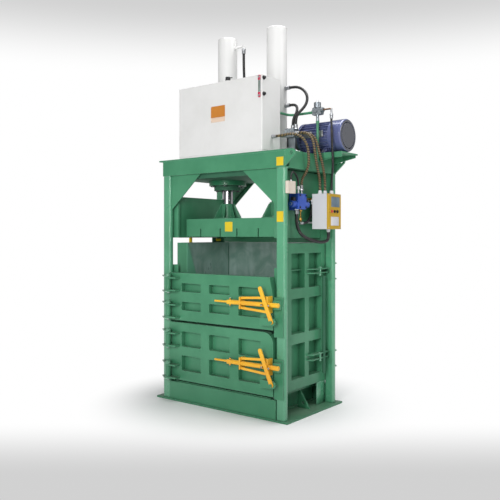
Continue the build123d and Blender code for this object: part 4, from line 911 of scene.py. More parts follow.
@dataclass(frozen=True)
class Studio:
    """Pale floor, soft lights and the camera at the photograph's angle."""

    camera_place: Point = (3.64, -4.65, 1.5)
    camera_turn: float = 37.88
    lens: float = 46.94
    shift: float = -0.03
    floor_size: float = 16.0
    lamps: tuple[Lamp, ...] = (
        Lamp("key", (2.9, -6.0, 3.2), (0.0, 0.0, 1.5), (2.0, 2.0), 136.0),
        Lamp("fill", (4.8, 0.4, 4.4), (0.4, 0.0, 2.4), (1.6, 1.6), 55.0),
        Lamp("top", (0.5, 0.5, 6.5), (0.0, 0.0, 2.0), (3.5, 3.5), 270.0),
        Lamp("strip", (1.9, -6.0, 1.8), (0.0, 0.0, 1.6), (0.22, 4.0), 130.0),
    )

    def build(self) -> None:
        """Set up camera, lights, world and floor."""
        data = bpy.data.cameras.new("camera")
        data.lens, data.sensor_width, data.shift_y = self.lens, 36.0, self.shift
        data.dof.use_dof = False
        camera = bpy.data.objects.new("camera", data)
        camera.location = self.camera_place
        camera.rotation_euler = (math.radians(90), 0.0, math.radians(self.camera_turn))
        bpy.context.scene.collection.objects.link(camera)
        bpy.context.scene.camera = camera
        bpy.context.scene.view_settings.view_transform = "Standard"
        for lamp in self.lamps:
            lamp.hang()
        self.surround()
        self.floor()

    def surround(self) -> None:
        """Make the pale surround: white at the horizon, greyer above, softer as a light than it looks."""
        world = bpy.data.worlds.new("studio")
        world.use_nodes = True
        net = Graph(world.node_tree)
        height = net.axes(net.add("TexCoord").outputs["Generated"])[2]
        seen = net.ramp(height, 0.235, 0.338, 1.0, 0.64)
        lighting = net.ramp(height, 0.0, 0.8, 0.40, 0.20)
        direct = net.add("LightPath").outputs["Is Camera Ray"]
        strength = net.add("Mix", {"data_type": "FLOAT", 0: direct, 2: lighting, 3: seen}).outputs[0]
        background = net.add("Background", {"Color": (1.0, 1.0, 1.0, 1.0), "Strength": strength})
        net.add("OutputWorld", {"Surface": background.outputs[0]})
        bpy.context.scene.world = world

    def floor(self) -> None:
        """Lay the floor, which fades into the pale background away from the machine."""
        Bench.clear()
        bpy.ops.mesh.primitive_plane_add(size=self.floor_size)
        floor = bpy.context.object
        floor.name = "studio_floor"
        net = Surface("studio_floor_paint", {"Roughness": 0.9, "Specular IOR Level": 0.1})
        colour = net.blend(net.noise(1.5, 3.0), linear("#F4F4F5"), linear("#F8F8F9"))
        distance = net.add("VectorMath", {"operation": "LENGTH", 0: net.place}).outputs["Value"]
        far = net.ramp(distance, 0.75, 1.5)
        # The second vector points from the machine to the camera, so the shade lies before the machine.
        towards = {"operation": "DOT_PRODUCT", 0: net.place, 1: (0.614, -0.789, 0.0)}
        ahead = net.add("VectorMath", towards).outputs["Value"]
        shade = net.times(net.ramp(ahead, 0.65, 1.87), net.ramp(distance, 2.6, 4.5, -0.36, 0.0))
        strength = net.sums("ADD", shade, 1.0)
        glow = net.add("Emission", {"Color": (1.0, 1.0, 1.0, 1.0), "Strength": strength})
        mixed = net.add("MixShader", {0: far, 1: net.shader.outputs[0], 2: glow.outputs[0]})
        net.feed(net.output, {0: mixed.outputs[0]})
        floor.data.materials.append(net.close({"Base Color": colour}))


class Cover(Enum):
    """Kinds of hose and cable cover."""

    RUBBER = "rubber"
    STRIPED = "striped"


class EndKind(Enum):
    """Kinds of end fitting on a hose or cable."""

    PRESSED = "pressed"
    GLAND = "gland"


@dataclass(frozen=True)
class Hose:
    """One hose or cable: its cover, size, length, end fittings and the points of its route."""

    name: str
    cover: Cover
    radius: float
    length: float
    start_fitting: tuple[EndKind, float]
    end_fitting: tuple[EndKind, float]
    points: tuple[Point, ...]


PRESSED_END = (EndKind.PRESSED, 0.042)
HOSES = (
    Hose("cylinder_hose_left", Cover.RUBBER, 0.012, 1.361, (EndKind.PRESSED, 0.045), PRESSED_END, (
        (-0.091, 0.0525, 3.165), (-0.091, 0.0525, 3.067), (-0.0867, 0.0527, 2.9682), (-0.0825, 0.0518, 2.8695),
        (-0.0833, 0.05, 2.7717), (-0.086, 0.0512, 2.674), (-0.0917, 0.0493, 2.5762), (-0.0935, 0.0405, 2.4785),
        (-0.0792, 0.0157, 2.3838), (-0.03, -0.0312, 2.315), (0.0532, -0.071, 2.2843), (0.1495, -0.0868, 2.2855),
        (0.2437, -0.0887, 2.3098), (0.332, -0.0775, 2.35), (0.428, -0.0775, 2.35),
    )),
    Hose("cylinder_hose_upper", Cover.RUBBER, 0.012, 0.500, PRESSED_END, PRESSED_END, (
        (0.423, 0.0525, 2.785), (0.473, 0.0525, 2.785), (0.5224, 0.0512, 2.7732), (0.5637, 0.05, 2.7475),
        (0.5971, 0.0488, 2.7088), (0.6125, 0.0405, 2.662), (0.6099, 0.0243, 2.6143), (0.5893, 0.001, 2.5725),
        (0.5566, -0.0192, 2.5358), (0.54, -0.0295, 2.491), (0.54, -0.0295, 2.442),
    )),
    Hose("cylinder_hose_lower", Cover.RUBBER, 0.012, 0.273, PRESSED_END, PRESSED_END, (
        (0.423, 0.0525, 2.632), (0.458, 0.0525, 2.632), (0.491, 0.0455, 2.6213), (0.513, 0.0315, 2.5967),
        (0.523, 0.0145, 2.567), (0.521, -0.0005, 2.5363), (0.509, -0.0115, 2.5037), (0.5, -0.0135, 2.472),
        (0.5, -0.0135, 2.442),
    )),
    Hose("striped_hose_a", Cover.STRIPED, 0.0108, 0.666, PRESSED_END, (EndKind.PRESSED, 0.070), (
        (0.498, -0.2565, 2.319), (0.554, -0.2565, 2.319), (0.6093, -0.2428, 2.329), (0.6595, -0.217, 2.329),
        (0.7008, -0.1853, 2.306), (0.7221, -0.1556, 2.264), (0.7304, -0.1359, 2.212), (0.7306, -0.1241, 2.158),
        (0.7279, -0.1164, 2.104), (0.7122, -0.1067, 2.054), (0.6835, -0.096, 2.012), (0.6497, -0.0862, 1.982),
        (0.634, -0.0835, 1.945), (0.634, -0.0835, 1.915),
    )),
    Hose("striped_hose_b", Cover.STRIPED, 0.0108, 0.618, PRESSED_END, (EndKind.GLAND, 0.030), (
        (0.602, -0.0725, 2.36), (0.657, -0.0725, 2.36), (0.7048, -0.0703, 2.3337), (0.7356, -0.0651, 2.2873),
        (0.7413, -0.0558, 2.23), (0.7401, -0.0396, 2.1727), (0.7379, -0.0204, 2.1183), (0.7347, 0.0008, 2.065),
        (0.7254, 0.0351, 2.0207), (0.7102, 0.0763, 1.9843), (0.7, 0.1005, 1.934), (0.7, 0.1005, 1.88),
    )),
    Hose("striped_hose_c", Cover.STRIPED, 0.0108, 0.617, PRESSED_END, (EndKind.GLAND, 0.030), (
        (0.602, -0.0225, 2.36), (0.656, -0.0225, 2.36), (0.7047, -0.0206, 2.3337), (0.7363, -0.0147, 2.2883),
        (0.744, -0.0018, 2.232), (0.7497, 0.0181, 2.1767), (0.7533, 0.0419, 2.1253), (0.751, 0.0668, 2.073),
        (0.7427, 0.0967, 2.0257), (0.7283, 0.1326, 1.9843), (0.716, 0.1565, 1.934), (0.716, 0.1565, 1.88),
    )),
    Hose("loop_hose", Cover.RUBBER, 0.014, 0.604, PRESSED_END, (EndKind.GLAND, 0.026), (
        (0.612, -0.1255, 1.673), (0.612, -0.1255, 1.628), (0.6152, -0.1231, 1.5771), (0.6284, -0.1136, 1.5322),
        (0.6457, -0.0902, 1.4953), (0.6689, -0.0467, 1.4694), (0.6891, 0.0107, 1.4516), (0.7033, 0.0732, 1.4397),
        (0.7126, 0.1386, 1.4398), (0.7188, 0.1901, 1.4509), (0.722, 0.2025, 1.480), (0.722, 0.2025, 1.524),
    )),
    Hose("valve_hose", Cover.RUBBER, 0.012, 0.253, (EndKind.PRESSED, 0.046), (EndKind.PRESSED, 0.030), (
        (0.612, 0.1105, 1.762), (0.612, 0.1105, 1.73), (0.612, 0.1052, 1.6993), (0.612, 0.0948, 1.6687),
        (0.612, 0.0765, 1.643), (0.612, 0.0532, 1.6213), (0.612, 0.0258, 1.6067), (0.612, -0.0055, 1.6),
        (0.612, -0.0375, 1.6),
    )),
    Hose("motor_cable", Cover.RUBBER, 0.0095, 0.639, (EndKind.PRESSED, 0.082), (EndKind.GLAND, 0.030), (
        (0.84, 0.0545, 2.472), (0.84, 0.0545, 2.413), (0.8423, 0.0544, 2.355), (0.8447, 0.0543, 2.296),
        (0.846, 0.0562, 2.238), (0.8453, 0.0631, 2.179), (0.8397, 0.0759, 2.122), (0.827, 0.0968, 2.069),
        (0.8063, 0.1267, 2.024), (0.7817, 0.1606, 1.982), (0.762, 0.1885, 1.936), (0.762, 0.1885, 1.88),
    )),
    Hose("switch_cable", Cover.RUBBER, 0.008, 0.318, (EndKind.GLAND, 0.012), (EndKind.GLAND, 0.060), (
        (0.7, -0.3375, 1.943), (0.7, -0.3375, 1.974), (0.6955, -0.3205, 1.9992), (0.686, -0.2905, 2.0105),
        (0.6765, -0.2595, 2.0097), (0.666, -0.2295, 2.004), (0.6555, -0.1995, 1.9943), (0.646, -0.1705, 1.9815),
        (0.6365, -0.1455, 1.9638), (0.632, -0.1295, 1.936), (0.632, -0.1295, 1.905),
    )),
)


@dataclass
class HoseWork:
    """The hoses and cables with their end fittings, and the rigid pipes some screw on to."""

    kit: Kit
    pipe_radius: float = 0.007
    pipe_bend: float = 0.014
    bend_steps: int = 6
    # Heights of the end fittings at a radius of 1
    pressed_height: float = 4.15
    gland_height: float = 2.6
    # Pressed ends up to this length are slimmer
    short_end: float = 0.035
    short_share: float = 0.8
    # Smallest gland and shortest stub behind a fitting
    least_gland: float = 0.0046
    least_stub: float = 0.004

    def build(self) -> None:
        """Lay the hoses, then make their ends and pipes."""
        for hose in HOSES:
            self.lay(hose)
        self.ends()
        for name, finish, corners in (
            ("valve_rear_pipe", BRASS, ((0.612, -0.0275, 1.808), (0.612, 0.1105, 1.808), (0.612, 0.1105, 1.790))),
            ("valve_elbow_pipe", BRASS, ((0.612, -0.0675, 1.715), (0.612, -0.0675, 1.600), (0.612, -0.055, 1.600))),
            ("head_elbow_pipe", COPPER, ((0.760, 0.0545, 2.554), (0.840, 0.0545, 2.554), (0.840, 0.0545, 2.500))),
        ):
            self.pipe(name, corners, finish)

    def cover(self, hose: Hose) -> HoseCover:
        """Choose the finish of a hose's cover.

        Args:
            hose: the hose.

        Returns:
            Its finish, with the turns spaced for its length.
        """
        if hose.cover is Cover.STRIPED:
            return HoseCover(
                f"{hose.name}_guard", "striped_cover", "#2E2720", "#8A7346", hose.length, 0.021, 0.42, 0.75
            )
        return HoseCover(f"{hose.name}_rubber", "black_rubber", "#141416", "#202024", hose.length, 0.012, 0.36, 0.5)

    def lay(self, hose: Hose) -> None:
        """Lay one hose as a smooth curve.

        Args:
            hose: the hose.
        """
        piece = Bench.tube(f"{hose.name}_cover", "NURBS", hose.points, hose.radius, 4)
        piece.data.materials.append(self.kit.shop.material(self.cover(hose)))
        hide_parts(hose.name)
        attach(piece, Body.FRAME.value)

    def ends(self) -> None:
        """Make one pressed end and one gland, and copy them to every hose."""
        nut = Bench.turned((1.15, 0.0), (1.55, 0.18), (1.55, 1.5), (1.25, 1.75), sides=6)
        sleeve = Bench.turned(
            (1.1, 1.5), (1.1, 1.9), (1.42, 2.0), (1.42, 2.5), (1.3, 2.58), (1.3, 2.72), (1.42, 2.8), (1.42, 3.2),
            (1.3, 3.28), (1.3, 3.42), (1.42, 3.5), (1.42, 3.95), (1.12, self.pressed_height),
        )
        gland = Bench.turned((1.3, 0.0), (1.6, 0.12), (1.6, 0.9), (1.4, 1.05), sides=6)
        cap = Bench.turned((1.3, 0.9), (1.42, 1.1), (1.42, 1.9), (1.28, 2.2), (1.05, self.gland_height), sides=24)
        made: dict[EndKind, list[Part]] = {EndKind.PRESSED: [], EndKind.GLAND: []}
        for hose in HOSES:
            first, last = Vector(hose.points[0]), Vector(hose.points[-1])
            ways = (Vector(hose.points[1]) - first, Vector(hose.points[-2]) - last)
            for end, way, (kind, length) in zip((first, last), ways, (hose.start_fitting, hose.end_fitting)):
                way.normalize()
                if kind is EndKind.PRESSED:
                    size = hose.radius if length > self.short_end else self.short_share * hose.radius
                    height = reach = self.pressed_height * size
                    parts, neck = (nut, sleeve), 0.85 * size
                else:
                    size = 1.25 * hose.radius * min(1.0, length / (3.25 * hose.radius))
                    height = self.gland_height * size
                    reach = min(length, height)
                    parts, neck, size = (gland, cap), 0.9 * hose.radius, max(size, self.least_gland)
                made[kind] += [Bench.move(Bench.copy(part), end - way * reach, way, size) for part in parts]
                if length - height > self.least_stub:
                    stub = Bench.turned((neck, -0.001), (neck, length - height + 0.002), sides=20)
                    made[kind].append(Bench.move(stub, end - way * length, way))
        Bench.drop(nut, sleeve, gland, cap)
        piece = self.kit.finish(made[EndKind.PRESSED], "hose_ends", ZINC)
        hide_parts("pipe_fittings")
        self.kit.finish(made[EndKind.GLAND], "cable_glands", GLAND_WHITE)

    def pipe(self, name: str, corners: Sequence[Point], finish: Finish) -> None:
        """Draw a pipe round its corners.

        Args:
            name: name of the piece.
            corners: ends and corners of its middle line.
            finish: its finish.
        """
        runs = [Vector(corner) for corner in corners]
        line = [runs[0]]
        for before, corner, after in zip(runs, runs[1:], runs[2:]):
            room = min(self.pipe_bend, 0.9 * (after - corner).length)
            near = corner + (before - corner).normalized() * room
            far = corner + (after - corner).normalized() * room
            for step in range(self.bend_steps + 1):
                share = step / self.bend_steps
                line.append(near.lerp(corner, share).lerp(corner.lerp(far, share), share))
        line.append(runs[-1])
        Bench.hold(Bench.tube(name, "POLY", line, self.pipe_radius, 5))
        bpy.ops.object.convert(target="MESH")
        self.kit.finish(bpy.context.object, name, finish)


@dataclass
class TankTrim:
    """What is fixed to the oil tank: front plate, level gauge and side plugs."""

    kit: Kit
    plate_x: Pair = (-0.096, 0.062)
    plate_z: Pair = (2.471, 2.609)
    plate_thickness: float = 0.0025
    band: float = 0.040
    rivet_inset: float = 0.007
    gauge_x: float = 0.432
    gauge_z: Pair = (2.625, 2.807)
    gauge_end: float = 0.042
    plug_x: float = 0.455
    plug_zs: Pair = (2.787, 2.656)

    def build(self) -> None:
        """Make the pieces on the tank."""
        self.plate()
        self.gauge()
        self.plugs()

    def plate(self) -> None:
        """Make a plain two-coloured plate and its four rivets."""
        (left, right), (low, high) = self.plate_x, self.plate_z
        front, seam, inset = FRONT - self.plate_thickness, low + self.band, self.rivet_inset
        for name, bottom, top, rim, finish in (
            ("tank_plate", seam, high, 0.006, PLATE_ORANGE),
            ("tank_plate_band", low, seam - 0.001, 0.005, PLATE_WHITE),
        ):
            plate = Bench.slab((left, front, bottom), (right, FRONT, top))
            Bench.sink(plate, AHEAD, rim, -0.0006, 0.001)
            self.kit.finish(plate, name, finish)
        corners = product((left + inset, right - inset), (front,), (low + inset, high - inset))
        self.kit.scatter(Pattern.DOME, "tank_plate_rivets", 0.0028, facing(AHEAD, corners))

    def gauge(self) -> None:
        """Make the level gauge: sight glass, red ends and their bolts."""
        x, (low, high) = self.gauge_x, self.gauge_z
        glass = Bench.slab(
            (x - 0.0065, FRONT - 0.0125, low + 0.04), (x + 0.0065, FRONT - 0.006, high - 0.04), 0.003, 3
        )
        piece = self.kit.finish(glass, "gauge_glass", OIL_GLASS)
        back = Bench.slab((x - 0.010, FRONT - 0.0075, low + 0.03), (x + 0.010, FRONT, high - 0.03))
        self.kit.finish(back, "gauge_back", ZINC)
        self.kit.finish([
            Bench.slab((x - 0.010, FRONT - 0.0135, start), (x + 0.010, FRONT, start + self.gauge_end), 0.003, 3)
            for start in (low, high - self.gauge_end)
        ], "gauge_ends", RED_GLASS)
        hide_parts("level_gauge")
        bolts = [(x, FRONT - 0.0130, z) for z in (low + 0.014, high - 0.014)]
        self.kit.scatter(Pattern.HEXAGON, "gauge_bolts", 0.0072, facing(AHEAD, bolts))

    def plugs(self) -> None:
        """Make two black plugs on the tank's right side, near its front edge."""
        plug = Bench.join(
            Bench.turned((0.016, 0.0), (0.017, 0.001), (0.017, 0.006), (0.015, 0.008), sides=24),
            Bench.turned((0.011, 0.006), (0.012, 0.008), (0.012, 0.018), (0.0105, 0.020), sides=6),
        )
        copies = [Bench.move(Bench.copy(plug), (self.plug_x, FRONT + 0.021, z), RIGHT) for z in self.plug_zs]
        Bench.drop(plug)
        self.kit.finish(copies, "tank_side_plugs", BLACK)


@dataclass
class PowerPackTrim:
    """Bolts, plates, eye and plugs on the motor, pump, manifold and relief head."""

    kit: Kit
    motor_x: Pair = (0.470, 0.800)
    motor_y: float = 0.2245
    motor_z: float = 2.345
    motor_top: float = 0.130
    fin_face: float = 0.1385
    bell_face: float = 0.400
    bell_ring: float = 0.078
    foot_inset: float = 0.085
    foot_reach: float = 0.096
    foot_top: float = 2.212
    fan_ring: float = 0.1395
    fan_screw_x: float = 0.812
    pump_face: float = 0.210
    pump_ring: float = 0.042
    lid_x: Pair = (0.566, 0.694)
    lid_half: float = 0.049
    lid_screw_inset: float = 0.007
    manifold_front: float = -0.0965
    manifold_top: float = 2.399
    manifold_side: float = 0.559
    head_middle: Pair = (0.696, 0.0665)
    head_top: float = 2.620
    head_cover_z: float = 2.577

    def build(self) -> None:
        """Make the pieces on the power pack."""
        self.eye()
        self.plates()
        self.bolts()
        self.terminal_cover()
        self.manifold_plugs()
        self.relief_head()

    def eye(self) -> None:
        """Make the lifting eye on top of the motor."""
        x, y, top = self.motor_x[0] + 0.13, self.motor_y, self.motor_z + self.motor_top
        Bench.clear()
        bpy.ops.mesh.primitive_torus_add(
            major_segments=28, minor_segments=12, major_radius=0.018, minor_radius=0.0055,
            location=(x, y, top + 0.026), rotation=(0.0, math.radians(90), 0.0),
        )
        loop = bpy.context.object
        stem = Bench.turned((0.012, 0.0), (0.016, 0.001), (0.016, 0.005), (0.009, 0.007), (0.007, 0.012))
        self.kit.finish([loop, Bench.move(stem, (x, y, top - 0.003), UP)], "motor_lifting_eye", ZINC)

    def plates(self) -> None:
        """Make two bare plates on the fins, facing the front."""
        y, z = self.motor_y, self.motor_z
        for name, left, right in (("motor_plate", 0.545, 0.625), ("motor_small_plate", 0.690, 0.735)):
            plate = Bench.slab((left, y - self.fin_face, z - 0.010), (right, y - self.fin_face + 0.0085, z + 0.042))
            self.kit.finish(plate, name, ZINC)

    def bolts(self) -> None:
        """Make the bolts of the bell housing, the motor's feet, the fan cover and the pump."""
        (start, end), y, z = self.motor_x, self.motor_y, self.motor_z
        bell = [(self.bell_face, y + across, z + up) for across, up in ring(6, 30, self.bell_ring)]
        self.kit.scatter(Pattern.HEXAGON, "bell_bolts", 0.009, facing(LEFT, bell))
        inset, reach, around = self.foot_inset, self.foot_reach, self.fan_ring
        feet = product((start + inset, end - inset), (y - reach, y + reach), (self.foot_top,))
        self.kit.scatter(Pattern.HEXAGON, "motor_foot_bolts", 0.010, facing(UP, feet))
        self.kit.scatter(Pattern.DOME, "fan_cover_screws", 0.006, [
            ((self.fan_screw_x, y + around * across, z + around * up), (0.0, across, up))
            for across, up in ring(4, 45, 1.0)
        ])
        pump = [(self.pump_face, y + across, z + up) for across, up in ring(4, 45, self.pump_ring)]
        self.kit.scatter(Pattern.SOCKET, "pump_screws", 0.008, facing(LEFT, pump), BLACKENED)

    def terminal_cover(self) -> None:
        """Make the lid and screws of the motor's terminal box, on its rear side."""
        back, z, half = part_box("motor_body")[1].y, self.motor_z, self.lid_half
        (left, right), inset = self.lid_x, self.lid_screw_inset
        lid = Bench.slab((left, back - 0.006, z - half), (right, back + 0.004, z + half), 0.003)
        Bench.sink(lid, BACK, 0.012, 0.002, 0.004)
        self.kit.finish(lid, "terminal_box_lid", MOTOR_BLUE)
        screws = product((left + inset, right - inset), (back + 0.004,), (z - half + inset, z + half - inset))
        self.kit.scatter(Pattern.DOME, "terminal_box_screws", 0.005, facing(BACK, screws))

    def manifold_plugs(self) -> None:
        """Make the socket plugs in the manifold's faces."""
        front = [(x, self.manifold_front, z) for x, z in ((0.484, 2.346), (0.546, 2.346), (0.484, 2.386))]
        top = [(x, -0.080, self.manifold_top) for x in (0.488, 0.545)]
        side = [(self.manifold_side, -0.048, z) for z in (2.382, 2.343)]
        plugs = facing(AHEAD, front) + facing(UP, top) + facing(RIGHT, side)
        self.kit.scatter(Pattern.SOCKET, "manifold_plugs", 0.0075, plugs, BLACKENED)

    def relief_head(self) -> None:
        """Make the adjusting screw, lock nut, cover screws and plugs of the relief head."""
        spindle = Bench.turned((0.008, 0.0), (0.008, 0.020), (0.0065, 0.022))
        nut = Bench.turned((0.013, 0.0), (0.0155, 0.002), (0.0155, 0.009), (0.013, 0.011), sides=6)
        self.kit.finish([
            Bench.move(spindle, (*self.head_middle, self.head_top), UP),
            Bench.move(nut, (*self.head_middle, self.head_top + 0.001), UP),
        ], "head_adjuster", ZINC)
        spots = ((0.664, 0.058), (0.664, 0.083), (0.732, 0.056), (0.732, 0.085))
        corners = [(x, y, self.head_cover_z) for x, y in spots]
        self.kit.scatter(Pattern.SOCKET, "head_screws", 0.006, facing(UP, corners), BLACKENED)
        plugs = [((0.655, 0.0705, 2.558), LEFT), ((0.688, 0.0495, 2.552), AHEAD), ((0.739, 0.0705, 2.535), RIGHT)]
        self.kit.scatter(Pattern.HEXAGON, "head_plugs", 0.0165, plugs, CASTING)


@dataclass
class ValveTrim:
    """Cable plugs, nuts and screws of the blue valve on the post."""

    kit: Kit
    coil_z: float = 1.757
    coil_ends: tuple[tuple[float, int], ...] = ((-0.1475, -1), (-0.0275, 1))
    coil_middle: float = 0.030
    coil_reach: float = 0.061
    face_x: float = 0.6495
    screw_ys: Pair = (-0.133, -0.042)
    screw_zs: Pair = (1.730, 1.830)

    def build(self) -> None:
        """Make the pieces on the valve."""
        self.coils()
        screws = product((self.face_x,), self.screw_ys, self.screw_zs)
        self.kit.scatter(Pattern.SOCKET, "valve_screws", 0.008, facing(RIGHT, screws), BLACKENED)
        self.port_nuts()

    def coils(self) -> None:
        """Make the black cable plugs on the coils and the knurled nuts on their ends."""
        plugs, nuts = [], []
        x, z = VALVE_X, self.coil_z
        for end, way in self.coil_ends:
            middle = end + way * self.coil_middle
            plugs.append(Bench.slab(
                (x - 0.015, middle - 0.016, z + 0.024), (x + 0.017, middle + 0.016, z + 0.056), 0.004, 3
            ))
            nut = Bench.turned((0.011, 0.0), (0.0135, 0.001), (0.0135, 0.008), (0.010, 0.010), sides=14)
            nuts.append(Bench.move(nut, (x, end + way * self.coil_reach, z), (0.0, float(way), 0.0)))
        self.kit.finish(plugs, "coil_plugs", BLACK)
        self.kit.finish(nuts, "coil_nuts", ZINC)

    def port_nuts(self) -> None:
        """Make the brass nuts where pipes leave the valve."""
        nut = Bench.turned((0.009, -0.002), (0.0135, 0.002), (0.0135, 0.016), (0.009, 0.020), sides=6)
        copies = [Bench.move(Bench.copy(nut), (VALVE_X, y, z), way) for y, z, way in (
            (-0.0285, 1.808, BACK), (-0.0675, 1.716, DOWN), (0.098, 1.808, AHEAD), (-0.0675, 1.624, UP),
        )]
        Bench.drop(nut)
        self.kit.finish(copies, "valve_port_nuts", BRASS)


@dataclass
class BoxTrim:
    """What is on the control box's door: window, buttons, lower plate and screws."""

    kit: Kit
    face_x: float = 0.800
    box_y: Pair = (0.0725, 0.2825)
    box_z: Pair = (1.550, 1.850)
    button_spacing: float = 0.045

    def build(self) -> None:
        """Make the pieces on the box door."""
        x, (near, far), (low, high) = self.face_x, self.box_y, self.box_z
        window = Bench.slab((x - 0.001, near + 0.045, high - 0.112), (x + 0.004, far - 0.030, high - 0.026), 0.002)
        Bench.sink(window, RIGHT, 0.006, -0.002, 0.002)
        self.kit.finish(window, "box_window", PANEL_BLUE, Body.BOX_DOOR)
        buttons = []
        for index in range(3):
            button = Bench.turned(
                (0.0135, 0.0), (0.0135, 0.003), (0.0105, 0.004), (0.0105, 0.009), (0.009, 0.011), sides=24
            )
            y = near + 0.055 + self.button_spacing * index
            buttons.append(Bench.move(button, (x - 0.0005, y, high - 0.150), RIGHT))
        self.kit.finish(buttons[0], "box_button_stop", RED, Body.BOX_DOOR)
        self.kit.finish(buttons[1:], "box_buttons", BLACK, Body.BOX_DOOR)
        plate = Bench.slab((x - 0.001, near + 0.040, low + 0.030), (x + 0.002, far - 0.040, low + 0.105))
        self.kit.finish(plate, "box_lower_plate", BOX_GREY, Body.BOX_DOOR)
        corners = product((x - 0.0005,), (near + 0.010, far - 0.010), (low + 0.012, high - 0.012))
        self.kit.scatter(Pattern.DOME, "box_door_screws", 0.0045, facing(RIGHT, corners), body=Body.BOX_DOOR)


@dataclass
class FrameTrim:
    """Bare yellow patches, hinge plates, closing plates, ties and screws on the frame and the latches."""

    kit: Kit
    patch_thickness: float = 0.0012
    gland_face: float = 1.9135
    gland_ring: float = 0.104
    clevis: Pair = (0.172, -0.4635)
    clevis_half: float = 0.030
    dog_face: float = -0.5066
    dog_xs: Pair = (0.5278, 0.5998)
    latch_zs: Pair = (0.943, 0.447)
    hinge_thickness: float = 0.012
    hinge_gap: float = 0.138
    cap_rise: float = 0.151
    door_hinge_zs: tuple[float, ...] = (0.745, 0.985, 0.2035, 0.490)
    rear_hinge_zs: Pair = (0.330, 1.105)
    tie_bar_zs: tuple[float, ...] = (0.428, 0.471, 1.172, 1.206)
    tie_strap_zs: Pair = (0.465, 1.200)
    tie_pin_zs: Pair = (0.4260, 1.1700)
    slit_z: Pair = (1.4305, 1.4745)

    def build(self) -> None:
        """Make the pieces on the frame."""
        self.patches()
        self.screws()
        self.hinges()
        self.closures()
        self.side_ties()
        self.slit_spacers()

    def patches(self) -> None:
        """Make plain yellow patches on the beam, the right post and the ram plate."""
        for name, low, high, body in (
            ("beam_patch", (0.600, FRONT, 2.055), (0.668, FRONT, 2.125), Body.FRAME),
            ("post_patch", (0.604, FRONT, 1.605), (0.668, FRONT, 1.690), Body.FRAME),
            ("platen_patch", (-0.039, -0.2775, 1.530), (0.046, -0.2775, 1.615), Body.RAM),
        ):
            patch = Bench.slab((low[0], low[1] - self.patch_thickness, low[2]), high, 0.0005, 1)
            self.kit.finish(patch, name, PATCH_YELLOW, body)

    def screws(self) -> None:
        """Make the screws in the glands round the rods, and the pin heads on both latches."""
        glands = [
            (side * CYLINDER_X + across, CYLINDER_Y + deep, self.gland_face)
            for side in (-1, 1) for across, deep in ring(8, 22.5, self.gland_ring)
        ]
        self.kit.scatter(Pattern.SOCKET, "gland_screws", 0.010, facing(DOWN, glands), BLACKENED)
        for level, z, bolt in zip(("upper", "lower"), self.latch_zs, (Body.UPPER_BOLT, Body.LOWER_BOLT)):
            heads = [((*self.clevis, z + self.clevis_half), UP), ((*self.clevis, z - self.clevis_half), DOWN)]
            self.kit.scatter(Pattern.DOME, f"{level}_clevis_pin_heads", 0.0105, heads, body=bolt)
            dogs = [(x, self.dog_face, z) for x in self.dog_xs]
            self.kit.scatter(Pattern.DOME, f"{level}_dog_ends", 0.0078, facing(AHEAD, dogs), body=bolt)

    def hinges(self) -> None:
        """Make the fixed hinge plates, cut slantwise from the post's corner to the boss about the pin."""
        flats = [
            Bench.slab((-0.684, -0.4225, 0.0), (-0.594, FRONT, self.hinge_thickness), 0.0015),
            Bench.slab((-0.684, -0.4835, 0.0), (-HINGE_X, -0.4215, self.hinge_thickness), 0.0015),
        ]
        boss = Bench.turned(
            (0.028, -0.0006), (0.030, 0.001), (0.030, 0.011), (0.028, 0.0126), (0.018, 0.0126), sides=36
        )
        boss.data.transform(Matrix.Translation((-HINGE_X, -HINGE_Y, 0.0)))
        against, arm = (Bench.cut(flat, (-0.684, -0.4065, 0.0), (-0.60, -0.80, 0.0)) for flat in flats)
        plate = Bench.join(arm, against, boss)
        lows = [(low, 0.0) for low in self.door_hinge_zs] + [(low, math.pi) for low in self.rear_hinge_zs]
        plates = Bench.repeat(plate, [
            Matrix.Translation((0.0, 0.0, low + rise)) @ Matrix.Rotation(turn, 4, "Z")
            for low, turn in lows for rise in (0.0, self.hinge_gap)
        ])
        piece = self.kit.finish(plates, "hinge_plates", POST_GREEN)
        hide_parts("hinge_brackets")
        caps = [(-HINGE_X, -HINGE_Y, low + self.cap_rise) for low in self.door_hinge_zs]
        caps += [(HINGE_X, HINGE_Y, low + self.cap_rise) for low in self.rear_hinge_zs]
        self.kit.scatter(Pattern.DOME, "hinge_caps", 0.026, facing(UP, caps), POST_GREEN)

    def closures(self) -> None:
        """Make thin plates that close the frame: rear tie, strips behind the front posts, rear corners."""
        tie = Bench.slab((-0.592, 0.360, 1.4312), (0.592, 0.395, 1.500), 0.0015)
        self.kit.finish(tie, "rear_cross_tie", GREEN)
        self.kit.finish(Bench.slab((-0.477, -0.3945, 2.1852), (0.453, -0.1405, 2.2008)), "tank_skirt", WHITE)
        self.kit.finish([
            Bench.slab((side * 0.606, -0.3465, low), (side * 0.540, back, high))
            for side in (-1, 1) for back, low, high in ((-0.3405, 0.150, 1.230), (-0.3172, 1.476, 1.850))
        ], "post_closing_strips", GREEN)
        braces = []
        for side in (-1, 1):
            brace = Bench.slab((side * 0.592, 0.3785, 1.675), (side * 0.185, 0.3865, 2.0395))
            braces.append(Bench.cut(brace, (side * 0.185, 0.0, 2.0395), (-side * 0.3645, 0.0, -0.407)))
        self.kit.finish(braces, "rear_brace_plates", GREEN)
        self.kit.finish([
            Bench.slab((side * inner, front, low), (side * outer, back, high))
            for side in (-1, 1) for (inner, outer), (front, back), (low, high) in (
                ((0.533, 0.591), (0.3480, 0.3540), (0.165, 0.215)),
                ((0.592, 0.600), (0.2125, 0.3470), (0.015, 0.209)),
            )
        ], "rear_corner_plates", POST_GREEN)

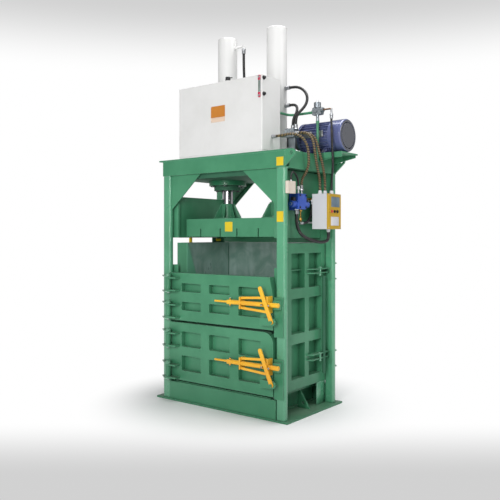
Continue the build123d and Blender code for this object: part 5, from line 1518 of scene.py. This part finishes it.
    def side_ties(self) -> None:
        """Make pairs of flat bars with an upright knuckle, from the right side wall to the rear post."""
        bar = Bench.slab((0.598, 0.050, -0.005), (0.645, 0.3465, 0.005), 0.002)
        bars = Bench.lift(Bench.cut(bar, (0.645, 0.080, 0.0), (0.60, -0.80, 0.0)), self.tie_bar_zs)
        strap = Bench.slab((0.648, 0.336, -0.105), (0.668, 0.3465, 0.008), 0.0035, 3)
        self.kit.finish(bars + Bench.lift(strap, self.tie_strap_zs), "side_tie_bars", GREEN)
        pins = []
        for z in self.tie_pin_zs:
            pin = Bench.turned(
                (0.010, -0.030), (0.013, -0.027), (0.013, 0.055), (0.019, 0.056), (0.020, 0.062), (0.016, 0.067),
                (0.008, 0.069), sides=24,
            )
            pins.append(Bench.move(pin, (0.636, 0.205, z), UP, 0.8))
        self.kit.finish(pins, "side_tie_pins", POST_GREEN)
        # Painted shade: a dark rod stands in the gap between the side wall and the rear post, where the gap lies in
        # shadow
        rod = Bench.turned((0.012, 0.290), (0.014, 0.292), (0.014, 1.140), (0.012, 1.142), sides=24)
        rod.data.transform(Matrix.Translation((0.640, 0.262, 0.0)))
        self.kit.finish(rod, "shadow_gap_rod", SHADED_GREEN)

    def slit_spacers(self) -> None:
        """Make the yellow spacers and the block in the slit above the left side wall."""
        low, high = self.slit_z
        small = Bench.slab((-0.560, -0.182, low), (-0.544, -0.152, high), 0.002)
        pad = Bench.slab((-0.546, 0.185, 1.440), (-0.538, 0.255, 1.465), 0.010, 4)
        self.kit.finish([small, pad], "slit_spacers", PATCH_YELLOW)
        self.kit.finish(Bench.slab((-0.560, 0.145, low), (-0.544, 0.300, high)), "slit_block", SHADED_GREEN)


def main() -> None:
    """Build the whole scene in order."""
    logging.basicConfig(level=logging.INFO, format="%(message)s")
    Bench.clear()
    Studio().build()
    shop = PaintShop()
    shop.coat_frame(frame["nodes"])
    kit = Kit(shop)
    for assembly in (HoseWork, TankTrim, PowerPackTrim, ValveTrim, BoxTrim, FrameTrim):
        assembly(kit).build()
    Bench.drop(*kit.patterns.values())
    Bench.clear()


if __name__ == "__main__":
    main()
